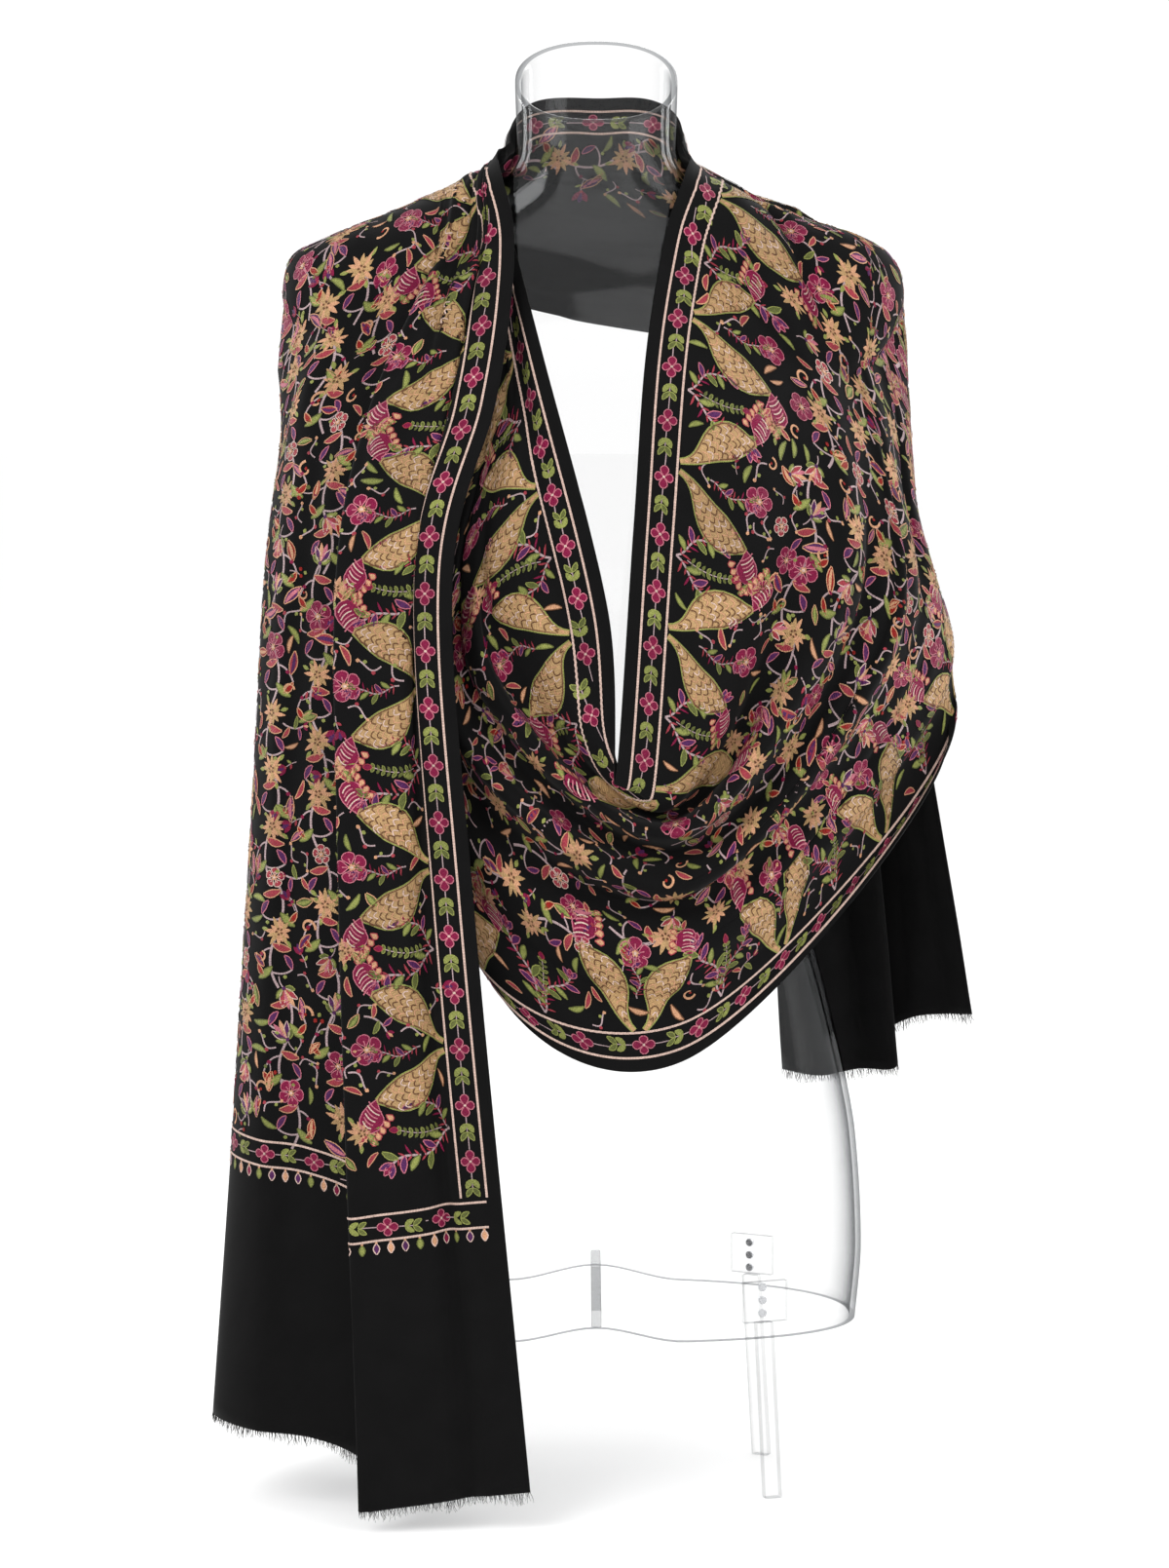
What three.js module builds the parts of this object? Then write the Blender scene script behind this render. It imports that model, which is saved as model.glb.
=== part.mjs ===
// A long embroidered pashmina shawl draped on a clear, limbless dress form.
// Millimetres, +Z up, the floor at z = 0. The form faces -Y, and +X is to the right of someone
// who looks at its front. One length of cloth makes every stretch that shows: one end hangs over
// the shoulder at -X (fall), the cloth goes round the back of the neck (wrap), comes down at +X,
// swings across as a deep cowl and rises under the fall (cowl), and its other end hangs behind
// the shoulder at +X (back_fall).
import * as THREE from "three";

// ---- driving sizes ----
const CLOTH_WALL = 2.0;
const SEAM_GAP = 0.6; // between neighbouring stretches of cloth
const FORM_WALL = 4.0;
const FORM_BASE_Z = 101; // lower edge of the shell above the floor
const ARCH_RISE = 10; // how far that edge rises at the middle
const ARCH_HALF_WIDTH = 60;
const NECK_RIM_FRONT_Z = 921; // the slanting cut of the neck
const NECK_RIM_BACK_Z = 982;
const NECK_START_Z = 896; // below this the rings of the shell are level
const FORM_SEGMENTS = 32;
// The object is moved by this much, so that the box round it is centred over the origin.
const OFFSET_X = -2.4;
const OFFSET_Y = 14.7;
const OFFSET_Z = 16;

const FRINGE_REACH = 9;
const FRINGE_GAP = 0.8;
const FRINGE_WALL = 1.2;

const LEG_WIDTH = 12;
const LEG_THICK = 8;
const LEG_INSET = 1.5; // from the middle of its block, towards the middle of the form
const LEG_SPLAY = 7; // how far each foot stands out from the top of its leg
const LEG_LEAN = 18; // and how far in towards the middle of the form
const BLOCK_WIDTH = 32;
const BLOCK_HEIGHT = 28;
const BLOCK_THICK = 6;
const BLOCK_Z = 125; // middle of each block
const SCREW_RADIUS = 3;
const SCREW_HEAD = 2.2;
const SCREW_SPACING = 9;
const SCREW_COUNT = 3;
const FIT_GAP = 0.3; // between hard pieces that touch
const STAND_ANGLE = 52; // round the form, of each corner of the stand
const BLOCK_SEAT_FRONT = 2.4; // from the curved wall to the flat block
const BLOCK_SEAT_BACK = 3;
const WEB_WIDTH = 7;
const WEB_GAP = 1.2;
const WEB_HEIGHT = 12;

const CLOTH_BLACK = { color: 0x101012, roughness: 0.9, metalness: 0 };
const CLEAR = { color: 0xe9eef0, roughness: 0.06, metalness: 0, transparent: true, opacity: 0.3 };
const STEEL = { color: 0xb9bcc0, roughness: 0.3, metalness: 1 };

// ---- the dress form: a row for each level ----
// z, half width, depth in front, depth behind
const FORM_LEVELS = [
  [101, 180, 92, 118],
  [154, 184, 94, 121],
  [235, 179, 92, 114],
  [300, 166, 88, 101],
  [360, 150, 84, 86],
  [442, 128, 80, 70],
  [520, 137, 92, 72],
  [580, 146, 108, 77],
  [640, 152, 117, 84],
  [700, 158, 101, 90],
  [750, 174, 80, 90],
  [790, 197, 64, 83],
  [812, 201, 57, 76],
  [827, 192, 53, 68],
  [842, 160, 51, 62],
  [858, 122, 49, 58],
  [874, 86, 49, 55],
  [888, 64, 50, 53],
  [904, 55, 51, 51],
  [950, 55, 52, 51],
];

// ---- wrap: a row for each fold line, from the neck edge to the outer edge ----
// over the shoulder at -X: height, angle and clearance from the form; heights behind that
// shoulder, behind the neck and behind the other shoulder; the same three at +X
const WRAP_FOLDS = [
  [910, 180, 4, 939, 942, 939, 910, 0, 4],
  [902, 180, 6, 926, 929, 926, 901, 0, 6],
  [895, 180, 4, 913, 917, 912, 888, 0, 7],
  [890, 180, 8, 902, 904, 899, 873, 0, 10],
  [883, 180, 6, 889, 891, 884, 864, 0, 8],
  [878, 180, 10, 881, 881, 875, 855, 0, 11],
  [871, 180, 6, 872, 869, 865, 847, 0, 8],
  [865, 180, 10, 864, 857, 853, 840, 0, 10],
  [854, 180, 7, 855, 844, 839, 832, 0, 7],
  [840, 179, 11, 846, 830, 822, 820, 3, 9],
  [819, 176, 9, 836, 815, 804, 803, 11, 8],
  [805, 168, 12, 826, 800, 786, 789, 18, 11],
  [792, 160, 8, 816, 786, 768, 776, 25, 8],
];
const BEHIND_ANGLES = [132, 90, 48];
const BEHIND_CLEAR = 9;
const BEHIND_RIPPLE = 2.5;

// ---- fall: a row for each fold line, from the inner edge to the outer edge ----
// x and y at the collar, chest, bust, waist and hem; the hem's height
const FALL_FOLDS = [
  [-55, -76, -66, -116, -94, -142, -80, -148, -44, -142, 12],
  [-75, -76, -93, -113, -116, -143, -102, -148, -71, -143, 10],
  [-80, -73, -97, -103, -119, -132, -114, -138, -84, -138, 8],
  [-86, -78, -101, -111, -124, -143, -127, -149, -100, -143, 6],
  [-100, -74, -126, -107, -148, -140, -149, -148, -131, -144, 2],
  [-117, -72, -151, -102, -170, -138, -169, -145, -159, -142, -1],
  [-110, -63, -132, -88, -147, -121, -146, -128, -140, -125, 8],
  [-130, -54, -154, -80, -164, -109, -164, -114, -160, -110, 28],
  [-160, -48, -184, -70, -192, -95, -194, -100, -192, -98, 38],
  [-190, -38, -204, -50, -213, -75, -223, -84, -233, -88, 41],
  [-215, -10, -214, -14, -221, -36, -237, -43, -262, -54, 45],
  [-212, 30, -210, 26, -213, 12, -227, 4, -248, -8, 50],
  [-192, 68, -188, 66, -189, 60, -195, 56, -214, 46, 56],
];
const COLLAR_SHARE = 0.3; // how far down each station is, from the shoulder to the bust
const CHEST_SHARE = 0.6;
const BUST_Z = 620;
const WAIST_Z = 400;

// ---- cowl: a row for each fold line, from the inner edge to the outer edge ----
// a point on the chest, at the knee of the swing, at its lowest place, where it rises, and high
// on the other side
const COWL_FOLDS = [
  [[34, -98, 780], [24, -137, 655], [12, -146, 488], [8, -132, 596], [-36, -90, 768]],
  [[58, -97, 778], [46, -138, 650], [27, -143, 482], [-14, -129, 592], [-45, -90, 760]],
  [[102, -88, 762], [94, -134, 628], [44, -140, 474], [-38, -126, 584], [-52, -84, 750]],
  [[142, -70, 742], [140, -106, 618], [48, -121, 465], [-60, -112, 574], [-58, -90, 740]],
  [[160, -66, 730], [160, -107, 600], [50, -147, 454], [-74, -122, 562], [-64, -82, 729]],
  [[180, -48, 716], [179, -80, 588], [52, -121, 438], [-86, -106, 548], [-69, -89, 718]],
  [[194, -44, 704], [196, -78, 572], [53, -147, 420], [-96, -116, 530], [-74, -82, 707]],
  [[204, -22, 694], [208, -49, 558], [55, -123, 400], [-104, -100, 508], [-78, -90, 696]],
  [[215, -8, 680], [223, -30, 543], [57, -144, 380], [-110, -108, 480], [-82, -84, 683]],
  [[220, 20, 660], [233, -6, 525], [57, -134, 354], [-110, -100, 448], [-86, -91, 668]],
  [[217, 40, 632], [238, -2, 508], [58, -129, 333], [-102, -108, 410], [-89, -85, 652]],
  [[213, 48, 610], [240, -10, 496], [58, -128, 318], [-92, -110, 386], [-92, -92, 636]],
  [[209, 54, 588], [234, -22, 482], [57, -127, 300], [-76, -113, 362], [-95, -88, 618]],
];
const COWL_END_NECK_Z = 886; // where it ends, under the wrap, on the shoulder at -X
const COWL_END_OUTER_Z = 876;
const COWL_END_CLEAR = 5.8;
const COWL_END_ANGLE = 192;

// ---- back_fall: a row for each fold line, from its inner edge to its outer edge ----
// x and height under the wrap; x and y at the blade, waist and hem; the hem's height
const BACK_FOLDS = [
  [60, 800, 78, 112, 118, 106, 134, 108, 256],
  [84, 802, 104, 98, 142, 90, 160, 92, 254],
  [106, 804, 130, 108, 168, 98, 188, 98, 258],
  [126, 804, 150, 94, 190, 78, 214, 82, 262],
  [140, 803, 160, 102, 196, 96, 210, 102, 284],
  [152, 802, 172, 92, 206, 84, 226, 92, 296],
  [165, 799, 186, 80, 224, 68, 248, 82, 300],
  [176, 796, 196, 66, 236, 50, 266, 66, 302],
];
const BACK_TOP_CLEAR = 3.4;
const BACK_UNDER_Z = 752; // just below the edge of the wrap
const BACK_BLADE_Z = 680;
const BACK_WAIST_Z = 470;

// ---- how finely each stretch is made ----
const ACROSS_STEPS = 2; // between two fold lines
const FALL_ROWS = [7, 3, 3, 3, 3]; // from each station to the next
const WRAP_ROWS = [4, 4, 4, 4];
const COWL_ROWS = [9, 4, 5, 4, 4, 10];
const BACK_ROWS = [2, 3, 3, 3];
const FALL_CLEAR = 11; // least clearance of a stretch's middle surface from the form
const WRAP_CLEAR = 3.4;
const COWL_CLEAR = 7.4;
const RAMP_SHARE = 0.02;
const END_RAMP_SHARE = 0.2;

const radians = (degrees) => (degrees * Math.PI) / 180;
const clamp = (value, low, high) => Math.min(Math.max(value, low), high);

// A smooth curve through evenly spaced values, at u from 0 to 1.
function smoothAt(values, u) {
  const last = values.length - 1;
  const i = Math.min(Math.floor(u * last), last - 1);
  const t = u * last - i;
  const [p1, p2] = [values[i], values[i + 1]];
  const p0 = i > 0 ? values[i - 1] : 2 * p1 - p2;
  const p3 = i < last - 1 ? values[i + 2] : 2 * p2 - p1;
  return (
    p1 + 0.5 * t * (p2 - p0 + t * (2 * p0 - 5 * p1 + 4 * p2 - p3 + t * (3 * (p1 - p2) + p3 - p0)))
  );
}

// The same through points.
function smoothPoint(points, u) {
  return new THREE.Vector3(
    smoothAt(points.map((p) => p.x), u),
    smoothAt(points.map((p) => p.y), u),
    smoothAt(points.map((p) => p.z), u),
  );
}

// Half width, depth in front and depth behind of the form at height z.
function levelAt(z) {
  const last = FORM_LEVELS.length - 1;
  let i = 0;
  while (i < last - 1 && FORM_LEVELS[i + 1][0] <= z) i++;
  const t = clamp((z - FORM_LEVELS[i][0]) / (FORM_LEVELS[i + 1][0] - FORM_LEVELS[i][0]), 0, 1);
  return [1, 2, 3].map((column) => smoothAt(FORM_LEVELS.map((row) => row[column]), (i + t) / last));
}

// A point on the form at an angle from +X towards +Y.
function formPoint(angle, z) {
  const [half, front, back] = levelAt(z);
  const [c, s] = [Math.cos(angle), Math.sin(angle)];
  const power = s > 0 ? 2.25 : 2.35; // squarer than an ellipse
  const size = (Math.abs(c) ** power + Math.abs(s) ** power) ** (-1 / power);
  return new THREE.Vector3(half * c * size, (s > 0 ? back : front) * s * size, z);
}

// A point clear of the form by a distance along its surface normal.
function formClear(angle, z, clear) {
  const step = 0.01;
  const point = formPoint(angle, z);
  const round = formPoint(angle + step, z).sub(formPoint(angle - step, z));
  const up = formPoint(angle, z + 1).sub(formPoint(angle, z - 1));
  return point.addScaledVector(round.cross(up).normalize(), clear);
}

// The same point, moved out along the form's normal if it is nearer to the form than least.
function keptClear(point, least) {
  const [half, front, back] = levelAt(point.z);
  const angle = Math.atan2(point.y / (point.y > 0 ? back : front), point.x / half);
  const seat = formClear(angle, point.z, 0);
  const normal = formClear(angle, point.z, 1).sub(seat);
  const distance = point.clone().sub(seat).dot(normal);
  return distance < least ? point.clone().addScaledVector(normal, least - distance) : point;
}

// ---- solids ----

function meshOf(name, vertices, faces, look) {
  const geometry = new THREE.BufferGeometry();
  const position = new THREE.Float32BufferAttribute(vertices.flatMap((p) => p.toArray()), 3);
  geometry.setAttribute("position", position);
  geometry.setIndex(faces.flat());
  geometry.computeVertexNormals();
  const mesh = new THREE.Mesh(geometry, new THREE.MeshStandardMaterial(look));
  mesh.name = name;
  return mesh;
}

// A closed wall on a grid of points, grid[row][column]. before and after are the rows that go on
// past its ends in its neighbours, so that both sides of a seam have the same slope.
function sheetMesh(name, grid, wall, look, before = grid[0], after = grid.at(-1)) {
  const [rows, columns] = [grid.length, grid[0].length];
  const outer = [];
  const inner = [];
  for (let r = 0; r < rows; r++) {
    const [last, next] = [grid[r - 1] ?? before, grid[r + 1] ?? after];
    for (let c = 0; c < columns; c++) {
      const along = next[c].clone().sub(last[c]);
      const across = grid[r][Math.min(c + 1, columns - 1)].clone().sub(grid[r][Math.max(c - 1, 0)]);
      const normal = across.cross(along).normalize();
      outer.push(grid[r][c].clone().addScaledVector(normal, wall / 2));
      inner.push(grid[r][c].clone().addScaledVector(normal, -wall / 2));
    }
  }
  const at = (r, c, side) => side * rows * columns + r * columns + c;
  const faces = [];
  const quad = (a, b, c, d) => faces.push([a, b, c], [a, c, d]);
  for (let r = 0; r < rows - 1; r++) {
    for (let c = 0; c < columns - 1; c++) {
      quad(at(r, c, 0), at(r, c + 1, 0), at(r + 1, c + 1, 0), at(r + 1, c, 0));
      quad(at(r, c, 1), at(r + 1, c, 1), at(r + 1, c + 1, 1), at(r, c + 1, 1));
    }
    quad(at(r, 0, 0), at(r + 1, 0, 0), at(r + 1, 0, 1), at(r, 0, 1));
    const end = columns - 1;
    quad(at(r, end, 0), at(r, end, 1), at(r + 1, end, 1), at(r + 1, end, 0));
  }
  for (let c = 0; c < columns - 1; c++) {
    quad(at(0, c, 0), at(0, c, 1), at(0, c + 1, 1), at(0, c + 1, 0));
    const end = rows - 1;
    quad(at(end, c, 0), at(end, c + 1, 0), at(end, c + 1, 1), at(end, c, 1));
  }
  return meshOf(name, [...outer, ...inner], faces, look);
}

// A grid on fold lines: foldAt(fold, u) gives a line's point at u along the cloth, and rowCounts
// the rows from each station to the next.
function foldGrid(folds, foldAt, rowCounts, clearAt) {
  const columns = (folds.length - 1) * ACROSS_STEPS;
  const places = rowCounts.flatMap((count, k) =>
    Array.from({ length: count }, (_, i) => (k + i / count) / rowCounts.length),
  );
  return [...places, 1].map((u) => {
    const points = folds.map((_, fold) => foldAt(fold, u));
    return Array.from({ length: columns + 1 }, (_, c) => {
      const point = smoothPoint(points, c / columns);
      return keptClear(keptClear(point, clearAt(u)), clearAt(u));
    });
  });
}

// A least clearance from the form that starts as the wrap's and changes to clear over a short
// stretch, and back to endClear at the other end.
function rampedClear(clear, endClear = clear) {
  return (u) => {
    const start = clamp(u / RAMP_SHARE, 0, 1);
    const end = clamp((1 - u) / END_RAMP_SHARE, 0, 1);
    return WRAP_CLEAR + (endClear + (clear - endClear) * end - WRAP_CLEAR) * start;
  };
}

// The same grid with its first row drawn back by the gap of a seam.
function seamed(grid) {
  const first = grid[0].map((point, c) => {
    const along = grid[1][c].clone().sub(point).normalize();
    return point.clone().addScaledVector(along, SEAM_GAP);
  });
  return [first, ...grid.slice(1)];
}

// ---- cloth ----

// The wrap's lines keep clear of the form all the way round, so they are drawn in its terms.
function wrapPoint(fold, u) {
  const [zLeft, angleLeft, clearLeft, ...rest] = WRAP_FOLDS[fold];
  const [zRight, angleRight, clearRight] = rest.slice(3);
  const ripple = fold % 2 ? BEHIND_RIPPLE : -BEHIND_RIPPLE;
  const angles = [angleLeft, ...BEHIND_ANGLES, angleRight];
  const heights = [zLeft, ...rest.slice(0, 3), zRight];
  const behind = BEHIND_CLEAR + ripple;
  const clears = [clearLeft, behind, behind, behind, clearRight];
  return formClear(radians(smoothAt(angles, u)), smoothAt(heights, u), smoothAt(clears, u));
}

function fallStations(fold) {
  const [xCollar, yCollar, xChest, yChest, xBust, yBust, xWaist, yWaist, xHem, yHem, zHem] = FALL_FOLDS[fold];
  const top = wrapPoint(fold, 0);
  const down = (share) => top.z + (BUST_Z - top.z) * share;
  return [
    top,
    new THREE.Vector3(xCollar, yCollar, down(COLLAR_SHARE)),
    new THREE.Vector3(xChest, yChest, down(CHEST_SHARE)),
    new THREE.Vector3(xBust, yBust, BUST_Z),
    new THREE.Vector3(xWaist, yWaist, WAIST_Z),
    new THREE.Vector3(xHem, yHem, zHem),
  ];
}

function cowlStations(fold) {
  const share = fold / (COWL_FOLDS.length - 1);
  const endZ = COWL_END_NECK_Z + (COWL_END_OUTER_Z - COWL_END_NECK_Z) * share;
  return [
    wrapPoint(fold, 1),
    ...COWL_FOLDS[fold].map((p) => new THREE.Vector3(...p)),
    formClear(radians(COWL_END_ANGLE), endZ, COWL_END_CLEAR),
  ];
}

function backStations(fold) {
  const [xTop, zTop, xBlade, yBlade, xWaist, yWaist, xHem, yHem, zHem] = BACK_FOLDS[fold];
  const topAngle = Math.acos(clamp(xTop / levelAt(zTop)[0], -1, 1));
  return [
    formClear(topAngle, zTop, BACK_TOP_CLEAR),
    formClear(topAngle, BACK_UNDER_Z, BACK_TOP_CLEAR),
    new THREE.Vector3(xBlade, yBlade, BACK_BLADE_Z),
    new THREE.Vector3(xWaist, yWaist, BACK_WAIST_Z),
    new THREE.Vector3(xHem, yHem, zHem),
  ];
}

const alongStations = (stations) => (fold, u) => smoothPoint(stations(fold), u);

const fallGrid = foldGrid(FALL_FOLDS, alongStations(fallStations), FALL_ROWS, rampedClear(FALL_CLEAR));
const wrapGrid = foldGrid(WRAP_FOLDS, wrapPoint, WRAP_ROWS, () => WRAP_CLEAR);
const cowlClear = rampedClear(COWL_CLEAR, COWL_END_CLEAR);
const cowlGrid = foldGrid(COWL_FOLDS, alongStations(cowlStations), COWL_ROWS, cowlClear);
const backGrid = foldGrid(BACK_FOLDS, alongStations(backStations), BACK_ROWS, () => BACK_TOP_CLEAR);

// The frayed end below a hem, which is a grid's row, hanging on along the line of its columns.
function fringeMesh(name, hem, above) {
  const drop = (share) =>
    hem.map((point, c) => {
      const down = point.clone().sub(above[c]).normalize();
      return point.clone().addScaledVector(down, FRINGE_GAP + share * FRINGE_REACH);
    });
  return sheetMesh(name, [drop(0), drop(1)], FRINGE_WALL, CLOTH_BLACK);
}

const cloth = [
  sheetMesh("fall", seamed(fallGrid), CLOTH_WALL, CLOTH_BLACK, wrapGrid[1]),
  sheetMesh("wrap", wrapGrid, CLOTH_WALL, CLOTH_BLACK, fallGrid[1], cowlGrid[1]),
  sheetMesh("cowl", seamed(cowlGrid), CLOTH_WALL, CLOTH_BLACK, wrapGrid.at(-2)),
  sheetMesh("back_fall", backGrid, CLOTH_WALL, CLOTH_BLACK),
];

const fringes = [
  fringeMesh("fall_fringe", fallGrid.at(-1), fallGrid.at(-2)),
  fringeMesh("back_fringe", backGrid.at(-1), backGrid.at(-2)),
];

// ---- the form ----

function shellRings(clear) {
  const neckLift = (point) => {
    const share = clamp((point.z - NECK_START_Z) / (950 - NECK_START_Z), 0, 1);
    const slope = (point.y + 52) / 104;
    const rim = NECK_RIM_FRONT_Z + (NECK_RIM_BACK_Z - NECK_RIM_FRONT_Z) * slope;
    if (share > 0) point.z = NECK_START_Z + (rim - NECK_START_Z) * share;
    return point;
  };
  return FORM_LEVELS.map(([z], level) =>
    Array.from({ length: FORM_SEGMENTS }, (_, i) => {
      const point = neckLift(formClear((i / FORM_SEGMENTS) * 2 * Math.PI, z, clear));
      if (level === 0) {
        const middle = clamp(1 - Math.abs(point.x) / ARCH_HALF_WIDTH, 0, 1);
        point.z = FORM_BASE_Z + ARCH_RISE * middle * middle * (3 - 2 * middle);
      }
      return point;
    }),
  );
}

function formShell() {
  const rings = [...shellRings(0), ...shellRings(-FORM_WALL).reverse()];
  const faces = [];
  const count = rings.length;
  for (let r = 0; r < count; r++) {
    for (let i = 0; i < FORM_SEGMENTS; i++) {
      const [next, right] = [(r + 1) % count, (i + 1) % FORM_SEGMENTS];
      const [a, b] = [r * FORM_SEGMENTS + i, r * FORM_SEGMENTS + right];
      const [c, d] = [next * FORM_SEGMENTS + right, next * FORM_SEGMENTS + i];
      faces.push([a, b, c], [a, c, d]);
    }
  }
  return meshOf("form_shell", rings.flat(), faces, CLEAR);
}

// ---- the web and the stand ----

// A closed solid between two outlines of the same length.
function prismMesh(name, lower, upper, look) {
  const count = lower.length;
  const faces = [];
  for (let i = 1; i < count - 1; i++) faces.push([0, i + 1, i], [count, count + i, count + i + 1]);
  for (let i = 0; i < count; i++) {
    const next = (i + 1) % count;
    faces.push([i, next, count + next], [i, count + next, count + i]);
  }
  return meshOf(name, [...lower, ...upper], faces, look);
}

// The clear bridge from the front of the lower edge to its back.
function formWeb() {
  const inset = FORM_WALL + WEB_GAP;
  const edge = (z) => {
    const [, front, back] = levelAt(z);
    const [half, near, far] = [WEB_WIDTH / 2, inset - front, back - inset];
    const corners = [[-half, near], [half, near], [half, far], [-half, far]];
    return corners.map(([x, y]) => new THREE.Vector3(x, y, z));
  };
  const base = FORM_BASE_Z + ARCH_RISE;
  return prismMesh("form_web", edge(base), edge(base + WEB_HEIGHT), CLEAR);
}

// One corner of the stand: a block inside the shell, its screws and its leg.
function standCorner(name, side, end) {
  const angle = Math.atan2(end * Math.sin(radians(STAND_ANGLE)), side * Math.cos(radians(STAND_ANGLE)));
  const seat = formClear(angle, BLOCK_Z, -FORM_WALL);
  const facing = formClear(angle, BLOCK_Z, 1).sub(formClear(angle, BLOCK_Z, 0)).setZ(0).normalize();
  const turn = Math.atan2(facing.y, facing.x);
  const corner = new THREE.Group();
  corner.position.copy(seat);
  corner.rotation.z = turn; // +X of the group now points out of the form

  const blockX = -(end < 0 ? BLOCK_SEAT_FRONT : BLOCK_SEAT_BACK) - BLOCK_THICK / 2;
  const block = new THREE.Mesh(
    new THREE.BoxGeometry(BLOCK_THICK, BLOCK_WIDTH, BLOCK_HEIGHT),
    new THREE.MeshStandardMaterial(CLEAR),
  );
  block.name = "block_" + name;
  block.position.x = blockX;
  corner.add(block);

  for (let i = 0; i < SCREW_COUNT; i++) {
    const screw = new THREE.Mesh(
      new THREE.CylinderGeometry(SCREW_RADIUS, SCREW_RADIUS, SCREW_HEAD, 10).rotateZ(Math.PI / 2),
      new THREE.MeshStandardMaterial(STEEL),
    );
    screw.name = "screw_" + name + "_" + (i + 1);
    screw.position.set(blockX - BLOCK_THICK / 2 - FIT_GAP - SCREW_HEAD / 2, 0, (i - 1) * SCREW_SPACING);
    corner.add(screw);
  }

  const top = BLOCK_Z - BLOCK_HEIGHT / 2 - FIT_GAP;
  const head = seat.clone().addScaledVector(facing, blockX - LEG_INSET);
  const foot = head.clone().add(new THREE.Vector3(side * LEG_SPLAY, -end * LEG_LEAN, 0));
  const sideways = new THREE.Vector3(-facing.y, facing.x, 0);
  const bar = (middle, z) =>
    [[-1, -1], [1, -1], [1, 1], [-1, 1]].map(([out, along]) =>
      middle
        .clone()
        .addScaledVector(facing, (out * LEG_THICK) / 2)
        .addScaledVector(sideways, (along * LEG_WIDTH) / 2)
        .setZ(z),
    );
  return [corner, prismMesh("leg_" + name, bar(foot, -OFFSET_Z), bar(head, top), CLEAR)];
}

const stand = [
  ...standCorner("front_left", -1, -1),
  ...standCorner("front_right", 1, -1),
  ...standCorner("back_left", -1, 1),
  ...standCorner("back_right", 1, 1),
];

const shawl = new THREE.Group();
shawl.position.set(OFFSET_X, OFFSET_Y, OFFSET_Z);
shawl.add(...cloth, ...fringes, formShell(), formWeb(), ...stand);

export default shawl;
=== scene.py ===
"""An embroidered pashmina shawl on a clear dress form, laid out as an add-on.

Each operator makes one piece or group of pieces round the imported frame. Tables are in millimetres
in the form's own frame and are brought into the part's frame by in_part(); everything else is in
metres.
"""

import math
import random

import bmesh
import bpy
import numpy as np
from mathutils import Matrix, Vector
from mathutils.kdtree import KDTree


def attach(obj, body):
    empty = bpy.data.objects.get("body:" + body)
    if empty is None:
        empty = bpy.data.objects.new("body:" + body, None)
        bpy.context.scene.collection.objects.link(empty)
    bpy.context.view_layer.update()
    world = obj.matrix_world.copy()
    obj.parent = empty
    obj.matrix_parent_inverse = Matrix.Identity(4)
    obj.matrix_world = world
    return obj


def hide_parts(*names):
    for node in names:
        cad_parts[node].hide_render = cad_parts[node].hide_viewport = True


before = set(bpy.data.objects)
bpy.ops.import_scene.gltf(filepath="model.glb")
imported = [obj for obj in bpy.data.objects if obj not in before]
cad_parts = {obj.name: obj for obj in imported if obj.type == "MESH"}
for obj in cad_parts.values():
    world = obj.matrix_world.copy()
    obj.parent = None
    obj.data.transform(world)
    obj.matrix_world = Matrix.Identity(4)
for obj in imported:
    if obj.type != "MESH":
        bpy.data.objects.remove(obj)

bl_info = {
    "name": "Embroidered Shawl on a Dress Form",
    "version": (1, 0, 0),
    "blender": (4, 5, 0),
    "location": "3D View > Sidebar > Shawl",
    "description": "Builds a draped, embroidered wool shawl and the clear form that carries it",
    "category": "Add Mesh",
}

MM = 0.001
FRAME_OFFSET = (-2.4, 14.7, 16.0)  # the form's middle in the part's frame

# ---- the dress form: z, half width, depth in front, depth behind ----
FORM_LEVELS = [
    (101, 180, 92, 118), (154, 184, 94, 121), (235, 179, 92, 114), (300, 166, 88, 101),
    (360, 150, 84, 86), (442, 128, 80, 70), (520, 137, 92, 72), (580, 146, 108, 77),
    (640, 152, 117, 84), (700, 158, 101, 90), (750, 174, 80, 90), (790, 197, 64, 83),
    (812, 201, 57, 76), (827, 192, 53, 68), (842, 160, 51, 62), (858, 122, 49, 58),
    (874, 86, 49, 55), (888, 64, 50, 53), (904, 55, 51, 51), (950, 55, 52, 51),
]
FORM_WALL = 4.0
FORM_BASE_Z = 101
ARCH_RISE = 10
ARCH_HALF_WIDTH = 60
NECK_RIM_FRONT_Z = 921
NECK_RIM_BACK_Z = 982
NECK_START_Z = 896
RIM_REACH = 3.0

# ---- wrap: height, angle and clearance at -X; heights behind; height, angle, clearance at +X ----
WRAP_FOLDS = [
    (910, 180, 4, 939, 942, 939, 910, 0, 4),
    (902, 180, 6, 926, 929, 926, 901, 0, 6),
    (895, 180, 4, 913, 917, 912, 888, 0, 7),
    (890, 180, 8, 902, 904, 899, 873, 0, 10),
    (883, 180, 6, 889, 891, 884, 864, 0, 8),
    (878, 180, 10, 881, 881, 875, 855, 0, 11),
    (871, 180, 6, 872, 869, 865, 847, 0, 8),
    (865, 180, 10, 864, 857, 853, 840, 0, 10),
    (854, 180, 7, 855, 844, 839, 832, 0, 7),
    (840, 179, 11, 846, 830, 822, 820, 3, 9),
    (819, 176, 9, 836, 815, 804, 803, 11, 8),
    (805, 168, 12, 826, 800, 786, 789, 18, 11),
    (792, 160, 8, 816, 786, 768, 776, 25, 8),
]
BEHIND_ANGLES = (132, 90, 48)
BEHIND_CLEAR = 9
BEHIND_RIPPLE = 2.5

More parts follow.
